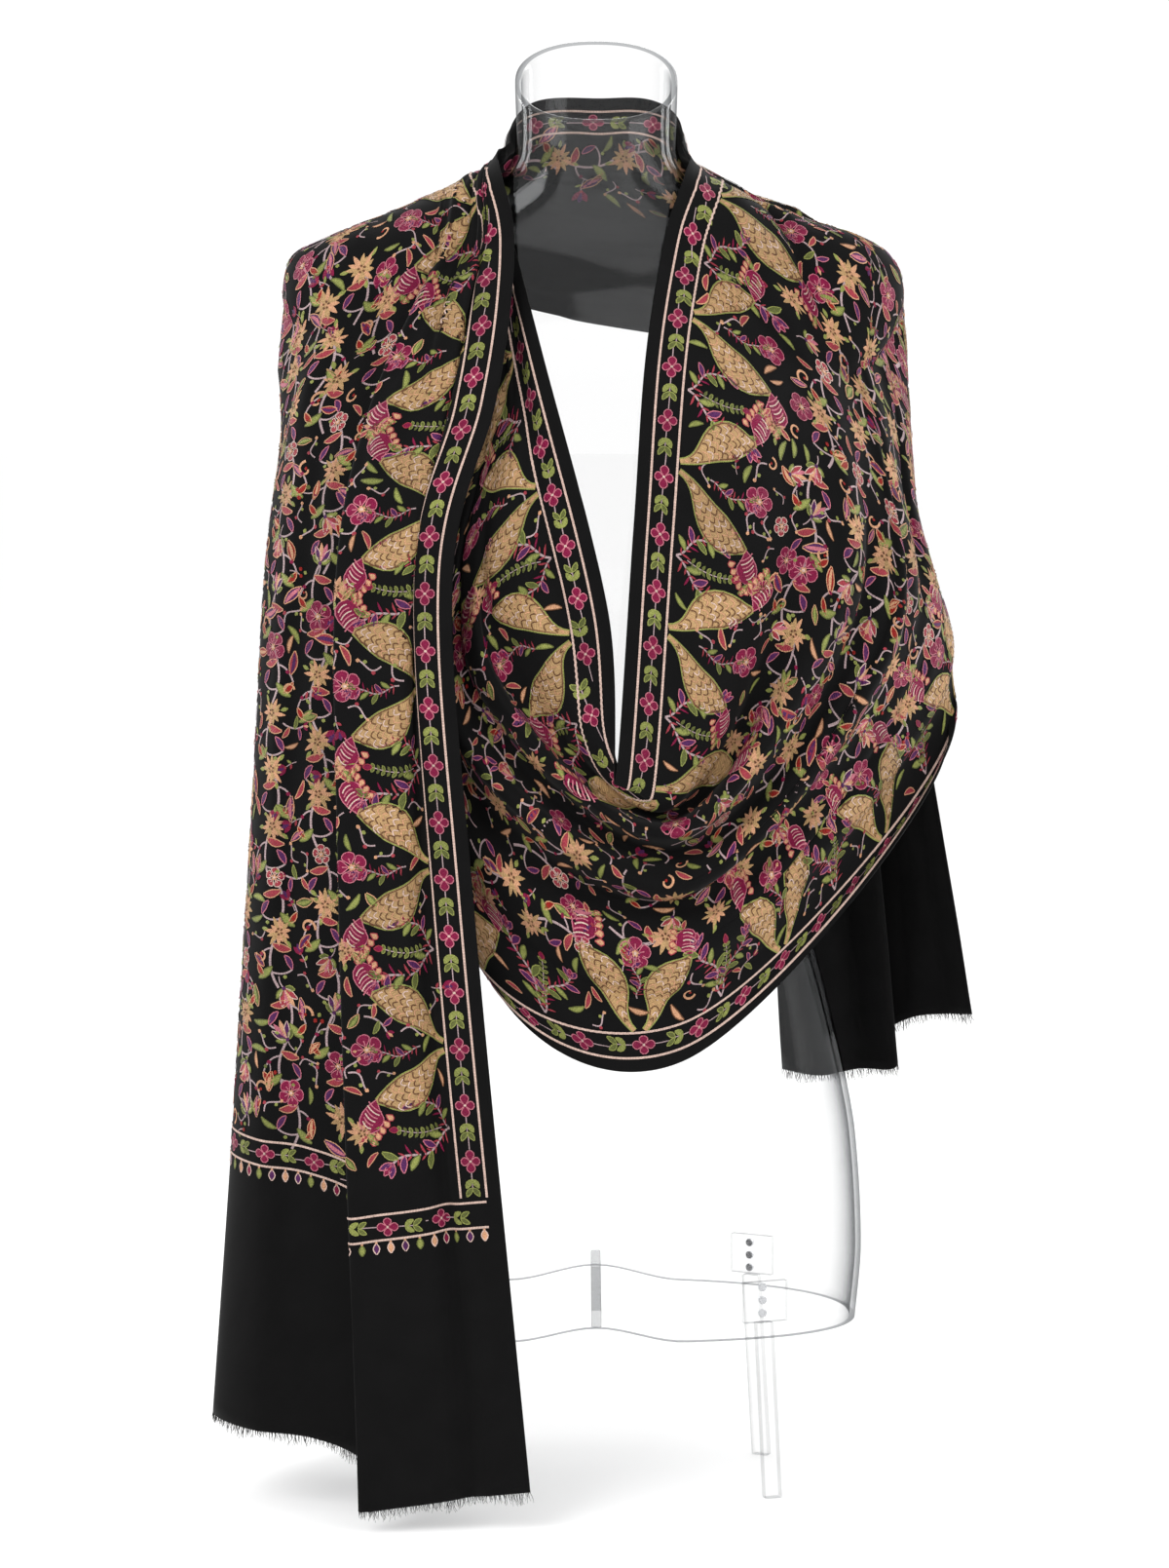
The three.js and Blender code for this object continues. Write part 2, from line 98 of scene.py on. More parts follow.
# ---- fall: x and y at the collar, chest, bust, waist and hem; the hem's height ----
FALL_FOLDS = [
    (-55, -76, -66, -116, -94, -142, -80, -148, -44, -142, 12),
    (-75, -76, -93, -113, -116, -143, -102, -148, -71, -143, 10),
    (-80, -73, -97, -103, -119, -132, -114, -138, -84, -138, 8),
    (-86, -78, -101, -111, -124, -143, -127, -149, -100, -143, 6),
    (-100, -74, -126, -107, -148, -140, -149, -148, -131, -144, 2),
    (-117, -72, -151, -102, -170, -138, -169, -145, -159, -142, -1),
    (-110, -63, -132, -88, -147, -121, -146, -128, -140, -125, 8),
    (-130, -54, -154, -80, -164, -109, -164, -114, -160, -110, 28),
    (-160, -48, -184, -70, -192, -95, -194, -100, -192, -98, 38),
    (-190, -38, -204, -50, -213, -75, -223, -84, -233, -88, 41),
    (-215, -10, -214, -14, -221, -36, -237, -43, -262, -54, 45),
    (-212, 30, -210, 26, -213, 12, -227, 4, -248, -8, 50),
    (-192, 68, -188, 66, -189, 60, -195, 56, -214, 46, 56),
]
COLLAR_SHARE = 0.3
CHEST_SHARE = 0.6
BUST_Z = 620
WAIST_Z = 400

# ---- cowl: points on the chest, at the knee, at the lowest place, at the rise and high up ----
COWL_FOLDS = [
    ((34, -98, 780), (24, -137, 655), (12, -146, 488), (8, -132, 596), (-36, -90, 768)),
    ((58, -97, 778), (46, -138, 650), (27, -143, 482), (-14, -129, 592), (-45, -90, 760)),
    ((102, -88, 762), (94, -134, 628), (44, -140, 474), (-38, -126, 584), (-52, -84, 750)),
    ((142, -70, 742), (140, -106, 618), (48, -121, 465), (-60, -112, 574), (-58, -90, 740)),
    ((160, -66, 730), (160, -107, 600), (50, -147, 454), (-74, -122, 562), (-64, -82, 729)),
    ((180, -48, 716), (179, -80, 588), (52, -121, 438), (-86, -106, 548), (-69, -89, 718)),
    ((194, -44, 704), (196, -78, 572), (53, -147, 420), (-96, -116, 530), (-74, -82, 707)),
    ((204, -22, 694), (208, -49, 558), (55, -123, 400), (-104, -100, 508), (-78, -90, 696)),
    ((215, -8, 680), (223, -30, 543), (57, -144, 380), (-110, -108, 480), (-82, -84, 683)),
    ((220, 20, 660), (233, -6, 525), (57, -134, 354), (-110, -100, 448), (-86, -91, 668)),
    ((217, 40, 632), (238, -2, 508), (58, -129, 333), (-102, -108, 410), (-89, -85, 652)),
    ((213, 48, 610), (240, -10, 496), (58, -128, 318), (-92, -110, 386), (-92, -92, 636)),
    ((209, 54, 588), (234, -22, 482), (57, -127, 300), (-76, -113, 362), (-95, -88, 618)),
]
COWL_END_NECK_Z = 886
COWL_END_OUTER_Z = 876
COWL_END_CLEAR = 5.8
COWL_END_ANGLE = 192

# ---- back fall: x and height under the wrap; x and y at blade, waist and hem; hem's height ----
BACK_FOLDS = [
    (60, 800, 78, 112, 118, 106, 134, 108, 256),
    (84, 802, 104, 98, 142, 90, 160, 92, 254),
    (106, 804, 130, 108, 168, 98, 188, 98, 258),
    (126, 804, 150, 94, 190, 78, 214, 82, 262),
    (140, 803, 160, 102, 196, 96, 210, 102, 284),
    (152, 802, 172, 92, 206, 84, 226, 92, 296),
    (165, 799, 186, 80, 224, 68, 248, 82, 300),
    (176, 796, 196, 66, 236, 50, 266, 66, 302),
]
BACK_TOP_CLEAR = 3.4
BACK_UNDER_Z = 752
BACK_BLADE_Z = 680
BACK_WAIST_Z = 470

FALL_CLEAR = 11
WRAP_CLEAR = 3.4
COWL_CLEAR = 7.4
RAMP_SHARE = 0.02
END_RAMP_SHARE = 0.2

# Small creases on each stretch: place along and across as shares, reach along and across as
# shares, slant, and depth in mm (a trough is negative).
CREASES = {
    "fall": [
        (0.10, 0.30, 0.10, 0.020, 0.3, -3.0), (0.16, 0.16, 0.12, 0.018, 0.2, 2.2),
        (0.22, 0.62, 0.13, 0.022, -0.4, -3.4), (0.30, 0.72, 0.16, 0.030, 0.25, 2.6),
        (0.34, 0.86, 0.18, 0.022, -0.1, -3.2), (0.45, 0.66, 0.20, 0.025, 0.1, -2.8),
        (0.52, 0.20, 0.16, 0.030, 0.1, 1.8), (0.60, 0.80, 0.22, 0.030, -0.1, 2.6),
        (0.72, 0.30, 0.16, 0.025, 0.15, -1.6), (0.78, 0.70, 0.20, 0.024, 0.1, -2.6),
        (0.86, 0.12, 0.10, 0.030, -0.3, 1.4), (0.90, 0.90, 0.12, 0.030, 0.1, -2.4),
        (0.94, 0.38, 0.07, 0.030, 0.4, -1.6), (0.66, 0.93, 0.25, 0.020, 0.0, -3.0),
        (0.13, 0.22, 0.10, 0.016, 0.1, 4.0), (0.16, 0.38, 0.12, 0.016, 0.2, 4.4),
        (0.26, 0.30, 0.14, 0.014, -0.1, 3.6), (0.30, 0.48, 0.16, 0.016, 0.1, 4.0),
        (0.44, 0.36, 0.20, 0.018, 0.1, 3.2), (0.55, 0.52, 0.22, 0.016, 0.0, 3.4),
    ],
    "wrap": [
        (0.20, 0.75, 0.14, 0.040, 0.3, -2.4), (0.35, 0.45, 0.16, 0.030, 0.1, -2.0),
        (0.50, 0.82, 0.18, 0.040, 0.0, 2.4), (0.62, 0.30, 0.14, 0.030, -0.1, 1.6),
        (0.70, 0.66, 0.18, 0.030, -0.2, -2.6), (0.84, 0.88, 0.10, 0.040, 0.3, -2.2),
        (0.90, 0.35, 0.08, 0.035, 0.2, -3.0), (0.12, 0.30, 0.08, 0.025, 0.1, 2.0),
    ],
    "cowl": [
        (0.05, 0.30, 0.05, 0.030, 0.5, -4.0), (0.09, 0.22, 0.06, 0.030, 0.3, 2.4),
        (0.14, 0.84, 0.10, 0.030, -0.2, -3.6), (0.20, 0.62, 0.10, 0.022, -0.3, -2.6),
        (0.30, 0.40, 0.08, 0.020, 0.2, -3.0), (0.34, 0.72, 0.08, 0.020, -0.2, 2.4),
        (0.40, 0.90, 0.09, 0.035, 0.1, -2.0), (0.46, 0.56, 0.07, 0.018, 0.1, -3.0),
        (0.53, 0.20, 0.06, 0.020, 0.1, 2.0), (0.55, 0.78, 0.08, 0.022, -0.2, -3.0),
        (0.62, 0.50, 0.07, 0.020, 0.2, 2.6), (0.66, 0.28, 0.08, 0.025, 0.1, -3.4),
        (0.38, 0.24, 0.12, 0.022, 0.3, -3.6), (0.37, 0.48, 0.13, 0.022, 0.2, -3.4),
        (0.42, 0.66, 0.12, 0.022, 0.2, -3.0), (0.24, 0.52, 0.10, 0.020, 0.3, -3.0),
        (0.70, 0.42, 0.10, 0.018, 0.2, -3.2), (0.74, 0.60, 0.10, 0.018, 0.1, -3.0),
        (0.72, 0.12, 0.10, 0.030, 0.1, -2.4), (0.27, 0.10, 0.08, 0.040, 0.0, 1.6),
    ],
    "back_fall": [
        (0.40, 0.20, 0.20, 0.050, 0.1, -3.0), (0.55, 0.55, 0.25, 0.045, -0.1, 2.6),
        (0.65, 0.80, 0.22, 0.040, 0.1, -3.2), (0.85, 0.35, 0.14, 0.060, 0.2, -2.4),
        (0.90, 0.70, 0.12, 0.050, -0.2, 2.0),
    ],
}


CREASE_DEPTH = {"fall": 1.15, "wrap": 1.1, "cowl": 1.9, "back_fall": 1.5}


# ============================ shapes shared with the CAD model ============================


def smooth(values, u):
    """Catmull-Rom through evenly spaced values (first axis) at each u from 0 to 1."""
    values = np.asarray(values, float)
    u = np.asarray(u, float)
    last = len(values) - 1
    i = np.clip((u * last).astype(int), 0, last - 1)
    t = (u * last - i).reshape(u.shape + (1,) * (values.ndim - 1))
    ends = np.concatenate([[2 * values[0] - values[1]], values, [2 * values[-1] - values[-2]]])
    p0, p1, p2, p3 = ends[i], ends[i + 1], ends[i + 2], ends[i + 3]
    cubic = 2 * p0 - 5 * p1 + 4 * p2 - p3 + t * (3 * (p1 - p2) + p3 - p0)
    return p1 + 0.5 * t * (p2 - p0 + t * cubic)


def level_at(z):
    """Half width, depth in front and depth behind of the form at each height."""
    levels = np.array(FORM_LEVELS, float)
    place = np.interp(z, levels[:, 0], np.arange(len(levels))) / (len(levels) - 1)
    return np.moveaxis(smooth(levels[:, 1:], place), -1, 0)


def form_point(angle, z):
    half, front, back = level_at(z)
    c, s = np.cos(angle), np.sin(angle)
    power = np.where(s > 0, 2.25, 2.35)
    size = (np.abs(c) ** power + np.abs(s) ** power) ** (-1 / power)
    return np.stack([half * c * size, np.where(s > 0, back, front) * s * size, z + 0 * c], -1)


def form_normal(angle, z):
    step = 0.01
    around = form_point(angle + step, z) - form_point(angle - step, z)
    up = form_point(angle, z + 1) - form_point(angle, z - 1)
    normal = np.cross(around, up)
    return normal / np.linalg.norm(normal, axis=-1, keepdims=True)


def form_clear(angle, z, clear):
    angle, z, clear = np.broadcast_arrays(*(np.asarray(x, float) for x in (angle, z, clear)))
    return form_point(angle, z) + form_normal(angle, z) * clear[..., None]


def kept_clear(points, least):
    """Points moved out along the form's normal where they are nearer to it than least."""
    half, front, back = level_at(points[..., 2])
    x, y = points[..., 0], points[..., 1]
    angle = np.arctan2(y / np.where(y > 0, back, front), x / half)
    normal = form_normal(angle, points[..., 2])
    distance = np.sum((points - form_point(angle, points[..., 2])) * normal, -1)
    return points + normal * np.maximum(least - distance, 0)[..., None]


def ramped_clear(u, clear, end_clear):
    start = np.clip(u / RAMP_SHARE, 0, 1)
    end = np.clip((1 - u) / END_RAMP_SHARE, 0, 1)
    return WRAP_CLEAR + (end_clear + (clear - end_clear) * end - WRAP_CLEAR) * start


def wrap_lines(u):
    lines = []
    for fold, (z0, a0, c0, zb0, zb1, zb2, z1, a1, c1) in enumerate(WRAP_FOLDS):
        behind = BEHIND_CLEAR + (BEHIND_RIPPLE if fold % 2 else -BEHIND_RIPPLE)
        angle = np.radians(smooth([a0, *BEHIND_ANGLES, a1], u))
        clear = smooth([c0, behind, behind, behind, c1], u)
        lines.append(form_clear(angle, smooth([z0, zb0, zb1, zb2, z1], u), clear))
    return np.stack(lines, 1)


def fall_lines(u):
    lines = []
    tops = wrap_lines(np.array([0.0]))[0]
    for top, (xc, yc, xh, yh, xb, yb, xw, yw, xe, ye, ze) in zip(tops, FALL_FOLDS):
        collar, chest = (top[2] + (BUST_Z - top[2]) * share for share in (COLLAR_SHARE, CHEST_SHARE))
        stations = [top, (xc, yc, collar), (xh, yh, chest), (xb, yb, BUST_Z), (xw, yw, WAIST_Z), (xe, ye, ze)]
        lines.append(smooth(stations, u))
    return np.stack(lines, 1)


def cowl_lines(u):
    lines = []
    tops = wrap_lines(np.array([1.0]))[0]
    for fold, (top, row) in enumerate(zip(tops, COWL_FOLDS)):
        share = fold / (len(COWL_FOLDS) - 1)
        end_z = COWL_END_NECK_Z + (COWL_END_OUTER_Z - COWL_END_NECK_Z) * share
        end = form_clear(math.radians(COWL_END_ANGLE), end_z, COWL_END_CLEAR)
        lines.append(smooth([top, *row, end], u))
    return np.stack(lines, 1)


def back_lines(u):
    lines = []
    for xt, zt, xb, yb, xw, yw, xe, ye, ze in BACK_FOLDS:
        angle = math.acos(min(max(xt / level_at(np.array(float(zt)))[0], -1), 1))
        top = form_clear(angle, zt, BACK_TOP_CLEAR)
        under = form_clear(angle, BACK_UNDER_Z, BACK_TOP_CLEAR)
        lines.append(smooth([top, under, (xb, yb, BACK_BLADE_Z), (xw, yw, BACK_WAIST_Z), (xe, ye, ze)], u))
    return np.stack(lines, 1)


def in_part(points):
    """Millimetres in the form's frame to metres in the part's frame."""
    return (points + np.array(FRAME_OFFSET)) * MM


# ============================ cloth as a mapped surface ============================


def normals_of(points):
    along = np.gradient(points, axis=0)
    across = np.gradient(points, axis=1)
    normal = np.cross(across, along)
    return normal / np.maximum(np.linalg.norm(normal, axis=-1, keepdims=True), 1e-9)


def arc(points, axis):
    steps = np.linalg.norm(np.diff(points, axis=axis), axis=-1)
    shape = list(steps.shape)
    shape[axis] = 1
    return np.concatenate([np.zeros(shape), np.cumsum(steps, axis=axis)], axis=axis)


class Cloth:
    """One stretch: a grid of points with the arc lengths across (from the neck edge) and along."""

    def __init__(self, name, lines, rows, columns, clear, outward):
        u = np.linspace(0, 1, rows + 1)
        v = np.linspace(0, 1, columns + 1)
        points = smooth(np.swapaxes(lines(u), 0, 1), v)
        points = np.swapaxes(points, 0, 1)
        least = clear(u)[:, None]
        points = kept_clear(kept_clear(points, least), least)
        self.name = name
        self.outward = outward
        bumps = self.creases(u, v)
        points = points + normals_of(points) * outward * bumps[..., None]
        self.points = in_part(points)
        self.normals = normals_of(self.points) * outward
        self.across = arc(self.points, 1)
        self.along = arc(self.points, 0)
        self.rows, self.columns = rows, columns

    def creases(self, u, v):
        """Uneven small troughs and ridges, fading out at the ends, plus a slight wander."""
        uu, vv = np.meshgrid(u, v, indexing="ij")
        depth = np.zeros_like(uu)
        for u0, v0, ru, rv, slant, height in CREASES[self.name]:
            height = height * CREASE_DEPTH[self.name]
            du = (uu - u0) / ru
            dv = (vv - v0 - slant * 0.1 * du) / rv
            depth += height * np.exp(-du * du - dv * dv)
        wander = np.sin(9 * uu + 5 * vv) * np.sin(23 * vv - 4 * uu) + 0.6 * np.sin(31 * uu + 17 * vv)
        fade = np.clip(np.minimum(uu, 1 - uu) / 0.03, 0, 1) if self.name != "fall" else np.clip(uu / 0.03, 0, 1)
        return (depth + 0.35 * wander) * fade

    def sample(self, rows, columns, lift):
        r = np.clip(rows, 0, self.rows)
        c = np.clip(columns, 0, self.columns)
        i, j = np.minimum(r.astype(int), self.rows - 1), np.minimum(c.astype(int), self.columns - 1)
        fr, fc = (r - i)[:, None], (c - j)[:, None]

        def mix(grid):
            low = grid[i, j] * (1 - fc) + grid[i, j + 1] * fc
            high = grid[i + 1, j] * (1 - fc) + grid[i + 1, j + 1] * fc
            return low * (1 - fr) + high * fr

        return mix(self.points) + mix(self.normals) * lift[:, None]

    def row_at(self, distance, column=0):
        return float(np.interp(distance, self.along[:, column], np.arange(self.rows + 1)))

    def column_at(self, row, distance):
        lengths = self.across[int(round(row))]
        distance = lengths[-1] + distance if distance < 0 else distance
        return float(np.interp(distance, lengths, np.arange(self.columns + 1)))

    def width(self, row):
        return float(self.across[int(round(row)), -1])

    def place(self, row, column, x, y, lift):
        """Points of a flat motif laid on the cloth at a row and column, at its true size."""
        across = self.across[int(round(row))]
        along = self.along[:, int(round(column))]
        columns = np.interp(np.interp(column, np.arange(self.columns + 1), across) + x, across,
                            np.arange(self.columns + 1))
        rows = np.interp(np.interp(row, np.arange(self.rows + 1), along) + y, along, np.arange(self.rows + 1))
        return self.sample(rows, columns, lift)


def make_cloths():
    return {
        "fall": Cloth("fall", fall_lines, 210, 168, lambda u: ramped_clear(u, FALL_CLEAR, FALL_CLEAR), 1),
        "wrap": Cloth("wrap", wrap_lines, 140, 130, lambda u: WRAP_CLEAR + 0 * u, -1),
        "cowl": Cloth("cowl", cowl_lines, 270, 168, lambda u: ramped_clear(u, COWL_CLEAR, COWL_END_CLEAR), -1),
        "back_fall": Cloth("back_fall", back_lines, 120, 110, lambda u: BACK_TOP_CLEAR + 0 * u, 1),
    }


CLOTHS = make_cloths()


# ============================ embroidery ============================

THREADS = {
    "cream": (232, 200, 186), "magenta": (138, 18, 66), "pink": (208, 120, 136), "purple": (88, 36, 92),
    "beige": (198, 160, 112), "brown": (112, 74, 48), "peach": (222, 166, 128), "lime": (152, 158, 84),
    "olive": (104, 110, 56), "stem": (196, 170, 172), "red": (160, 34, 28), "rose": (170, 62, 74),
}
STRIP_EDGE = 9.5 * MM  # plain margin outside the border strip
STRIP_WIDTH = 17 * MM
STRIP_PITCH = 37 * MM
ALMOND_PITCH = 110 * MM
ALMOND_ZONE = 84 * MM  # how far the almond leaves reach in from the strip
END_BORDER = 182 * MM  # plain cloth between the end border and the hem
FIELD_PITCH = 38 * MM
LIFT = 0.6 * MM
LANE_WIDTH = 4.5  # widest span of stitches between two lines of points, in millimetres


def linear(rgb):
    return [((c / 255 + 0.055) / 1.055) ** 2.4 if c > 10 else c / 3294.6 for c in rgb] + [1.0]


class Motif:
    """A flat motif in millimetres: strips of stitches with a colour each."""

    def __init__(self):
        self.points, self.uvs, self.colours, self.faces = [], [], [], []

    def strip(self, spine, widths, colour, lift=0.0, crown=0.0):
        """Stitches laid along a line of points; crown raises the middle."""
        spine = np.asarray(spine, float)
        widths = np.broadcast_to(np.asarray(widths, float), len(spine))
        heading = np.gradient(spine, axis=0)
        side = np.stack([-heading[:, 1], heading[:, 0]], 1)
        side /= np.maximum(np.linalg.norm(side, axis=1, keepdims=True), 1e-9)
        length = np.concatenate([[0], np.cumsum(np.linalg.norm(np.diff(spine, axis=0), axis=1))])
        lanes = np.linspace(-0.5, 0.5, 2 * max(int(math.ceil(widths.max() / LANE_WIDTH / 2)), 1) + 1)
        lanes = lanes if crown else (-0.5, 0.5)
        start = sum(len(p) for p in self.points)
        for lane in lanes:
            flat = spine + side * (widths * lane)[:, None]
            height = np.full(len(spine), lift + crown * (1 - 4 * lane * lane))
            self.points.append(np.column_stack([flat, height]))
            self.uvs.append(np.column_stack([length, widths * lane]))
            self.colours.append(np.tile(linear(THREADS[colour]), (len(spine), 1)))
        n = len(spine)
        for lane in range(len(lanes) - 1):
            low = start + lane * n + np.arange(n - 1)
            self.faces.append(np.column_stack([low, low + 1, low + 1 + n, low + n]))

    def leaf(self, x, y, angle, length, width, colour, edge=None, bend=0.0, steps=6, blunt=False):
        """A pointed oval from its root, with an outline where edge names a thread; blunt rounds its tip."""
        t = np.linspace(0, 1, steps)
        turn = angle + bend * t
        step = np.column_stack([np.cos(turn), np.sin(turn)]) * length / (steps - 1)
        spine = np.array([x, y]) + np.concatenate([[[0, 0]], np.cumsum(step[:-1], axis=0)])
        profile = np.sin(np.pi * np.clip(t, 0.03, 0.97)) ** 0.8
        if blunt:
            profile = np.sin(np.pi * np.clip(t, 0.04, 0.96) ** 1.7) ** 0.6
        self.strip(spine, width * profile, colour, 0.15, 0.25)
        if edge:
            side = np.column_stack([-np.sin(turn), np.cos(turn)]) * (width * profile / 2)[:, None]
            loop = np.concatenate([spine + side, (spine - side)[::-1]])
            self.strip(loop, 0.7, edge, 0.35)
        return spine[-1]

    def curve(self, start, middle, end, width, colour, steps=8, lift=0.1):
        t = np.linspace(0, 1, steps)[:, None]
        a, b, c = (np.asarray(p, float) for p in (start, middle, end))
        self.strip((1 - t) ** 2 * a + 2 * t * (1 - t) * b + t * t * c, width, colour, lift)

    def dot(self, x, y, size, colour, lift=0.3):
        self.strip([(x - size / 2, y), (x, y), (x + size / 2, y)], [size * 0.4, size, size * 0.4], colour, lift, 0.3)

    def done(self):
        self.points = np.concatenate(self.points) * MM
        self.uvs = np.concatenate(self.uvs) * MM
        self.colours = np.concatenate(self.colours)
        self.faces = np.concatenate(self.faces)
        return self


def diamond_flower():
    """The border's unit: a four-petalled flower and two pairs of leaves on a stem."""
    m = Motif()
    m.curve((0, -18.5), (0, 0), (0, 18.5), 0.7, "stem", 6, 0.0)
    for angle in (0, 90, 180, 270):
        reach = 6.0 if angle in (0, 180) else 7.2
        m.leaf(0, 0, math.radians(angle), reach, 5.6, "magenta", "pink", steps=6, blunt=True)
    m.dot(0, 0, 1.8, "cream", 0.6)
    for y in (12.4, 18.0):
        for side in (-1, 1):
            m.leaf(0, y, math.radians(90 - side * 48), 7.0, 3.3, "lime" if y < 17 else "olive", "lime", side * 0.6, 5)
    return m.done()


def round_flower(petals="magenta", edge="pink", size=10.2, count=5):
    m = Motif()
    for i in range(count):
        angle = 2 * math.pi * i / count
        root = 2.0
        m.leaf(root * math.cos(angle), root * math.sin(angle), angle, size - root, size * 0.86, petals, edge, steps=7,
               blunt=True)
        m.strip([(3.2 * math.cos(angle), 3.2 * math.sin(angle)),
                 (size * 0.62 * math.cos(angle), size * 0.62 * math.sin(angle))], 0.8, edge, 0.5)
    for i in range(5):
        angle = 2 * math.pi * i / 5
        m.dot(1.5 * math.cos(angle), 1.5 * math.sin(angle), 2.0, "peach", 0.6)
    m.dot(0, 0, 2.2, "cream", 0.8)
    return m.done()


def burst(colour="peach", tips="beige"):
    """A ragged many-petalled flower."""
    m = Motif()
    for i in range(13):
        angle = 2 * math.pi * i / 13 + 0.12 * math.sin(5 * i)
        length = 10.5 + 2.6 * math.sin(2.3 * i)
        m.leaf(0, 0, angle, length, 3.4, colour if i % 3 else tips, steps=5, bend=0.25 * math.sin(i))
    for i in range(5):
        angle = 2 * math.pi * i / 5 + 0.3
        m.dot(2.2 * math.cos(angle), 2.2 * math.sin(angle), 1.7, "brown", 0.6)
    for angle in (0.5, 2.4, 4.4):
        m.leaf(9 * math.cos(angle), 9 * math.sin(angle), angle, 6.5, 3.4, "lime", steps=4)
    return m.done()


def two_tone_leaf(fill="purple", half="pink", length=17.0):
    m = Motif()
    m.leaf(0, 0, 0.15, length, 6.4, fill, "peach", 0.35)
    t = np.linspace(0.1, 0.9, 5)
    spine = np.column_stack([length * t * np.cos(0.3 * t + 0.05), length * np.sin(0.3 * t + 0.02) * t])
    m.strip(spine, 2.2 * np.sin(np.pi * t) + 0.4, half, 0.45)
    return m.done()


def bud():
    """Three small petals above a green cup."""
    m = Motif()
    m.curve((0, 0), (1.5, 6), (0, 12), 0.8, "stem", 5)
    for angle, colour in ((60, "magenta"), (90, "purple"), (120, "magenta")):
        m.leaf(0, 11, math.radians(angle), 8.5, 4.2, colour, steps=5)
    m.dot(0, 11.5, 2.4, "rose", 0.5)
    for side in (-1, 1):
        m.leaf(0.8, 5, math.radians(90 - side * 55), 5.0, 2.4, "rose" if side < 0 else "lime", steps=4)
    return m.done()


def fern(length=40.0, pairs=8):
    m = Motif()
    m.curve((0, 0), (length * 0.5, 7), (length, 2), 0.8, "stem", 8)
    for i in range(pairs):
        t = (i + 0.8) / (pairs + 0.3)
        x, y = length * t, 2 * 7 * t * (1 - t) + 2 * t * t
        for side in (-1, 1):
            m.leaf(x, y, math.radians(side * 58), 6.2 - 2.2 * t, 2.8, "olive", "lime" if i % 2 else None, steps=4)
    m.leaf(length - 1, 2, 0.1, 8, 5, "magenta", "rose", steps=5)
    return m.done()


def spiky_sprig(length=30.0):
    m = Motif()
    m.curve((0, 0), (length * 0.45, -6), (length, 0), 0.9, "stem", 8)
    for i in range(7):
        t = (i + 1) / 8
        x, y = length * t, -12 * t * (1 - t)
        for side in (-1, 1):
            m.leaf(x, y, math.radians(20 + side * 38), 4.6, 1.2, "magenta" if i % 2 else "rose", steps=3)
    m.leaf(length - 1, 0, 0.2, 9, 4.2, "red", "peach", 0.4, 5)
    return m.done()


def hook():
    """A small curl of peach chain stitch."""
    m = Motif()
    t = np.linspace(0, 1, 14)
    angle = 4.6 * t
    radius = 6.0 * (1 - 0.72 * t)
    m.strip(np.column_stack([radius * np.cos(angle), radius * np.sin(angle)]), 1.9 * (1 - 0.3 * t), "peach", 0.2, 0.25)
    m.dot(0.6, -0.4, 2.2, "red", 0.4)
    return m.done()


def lily(fill="rose"):
    """A bell-shaped flower seen from the side, with green sepals."""
    m = Motif()
    m.curve((0, -9), (2, -4), (0, 0), 0.9, "stem", 5)
    for angle, length, colour in ((55, 13, fill), (75, 15, "pink"), (95, 15, "peach"), (118, 13, fill)):
        m.leaf(0, 0, math.radians(angle), length, 4.4, colour, "cream" if colour == fill else None, 0.25, 6)
    m.leaf(0, 0, math.radians(20), 9, 4, "lime", "olive", 0.4, 5)
    m.leaf(0, 0, math.radians(160), 9, 4, "olive", "lime", -0.4, 5)
    m.dot(0, 0, 3, "purple", 0.5)
    return m.done()


def berries():
    m = Motif()
    m.curve((0, 0), (4, 3), (10, 2), 0.8, "stem", 5)
    for x, y, colour in ((10, 2, "red"), (7, 6, "red"), (12, 6, "lime"), (4, -2, "olive")):
        m.dot(x, y, 3.0, colour)
    return m.done()


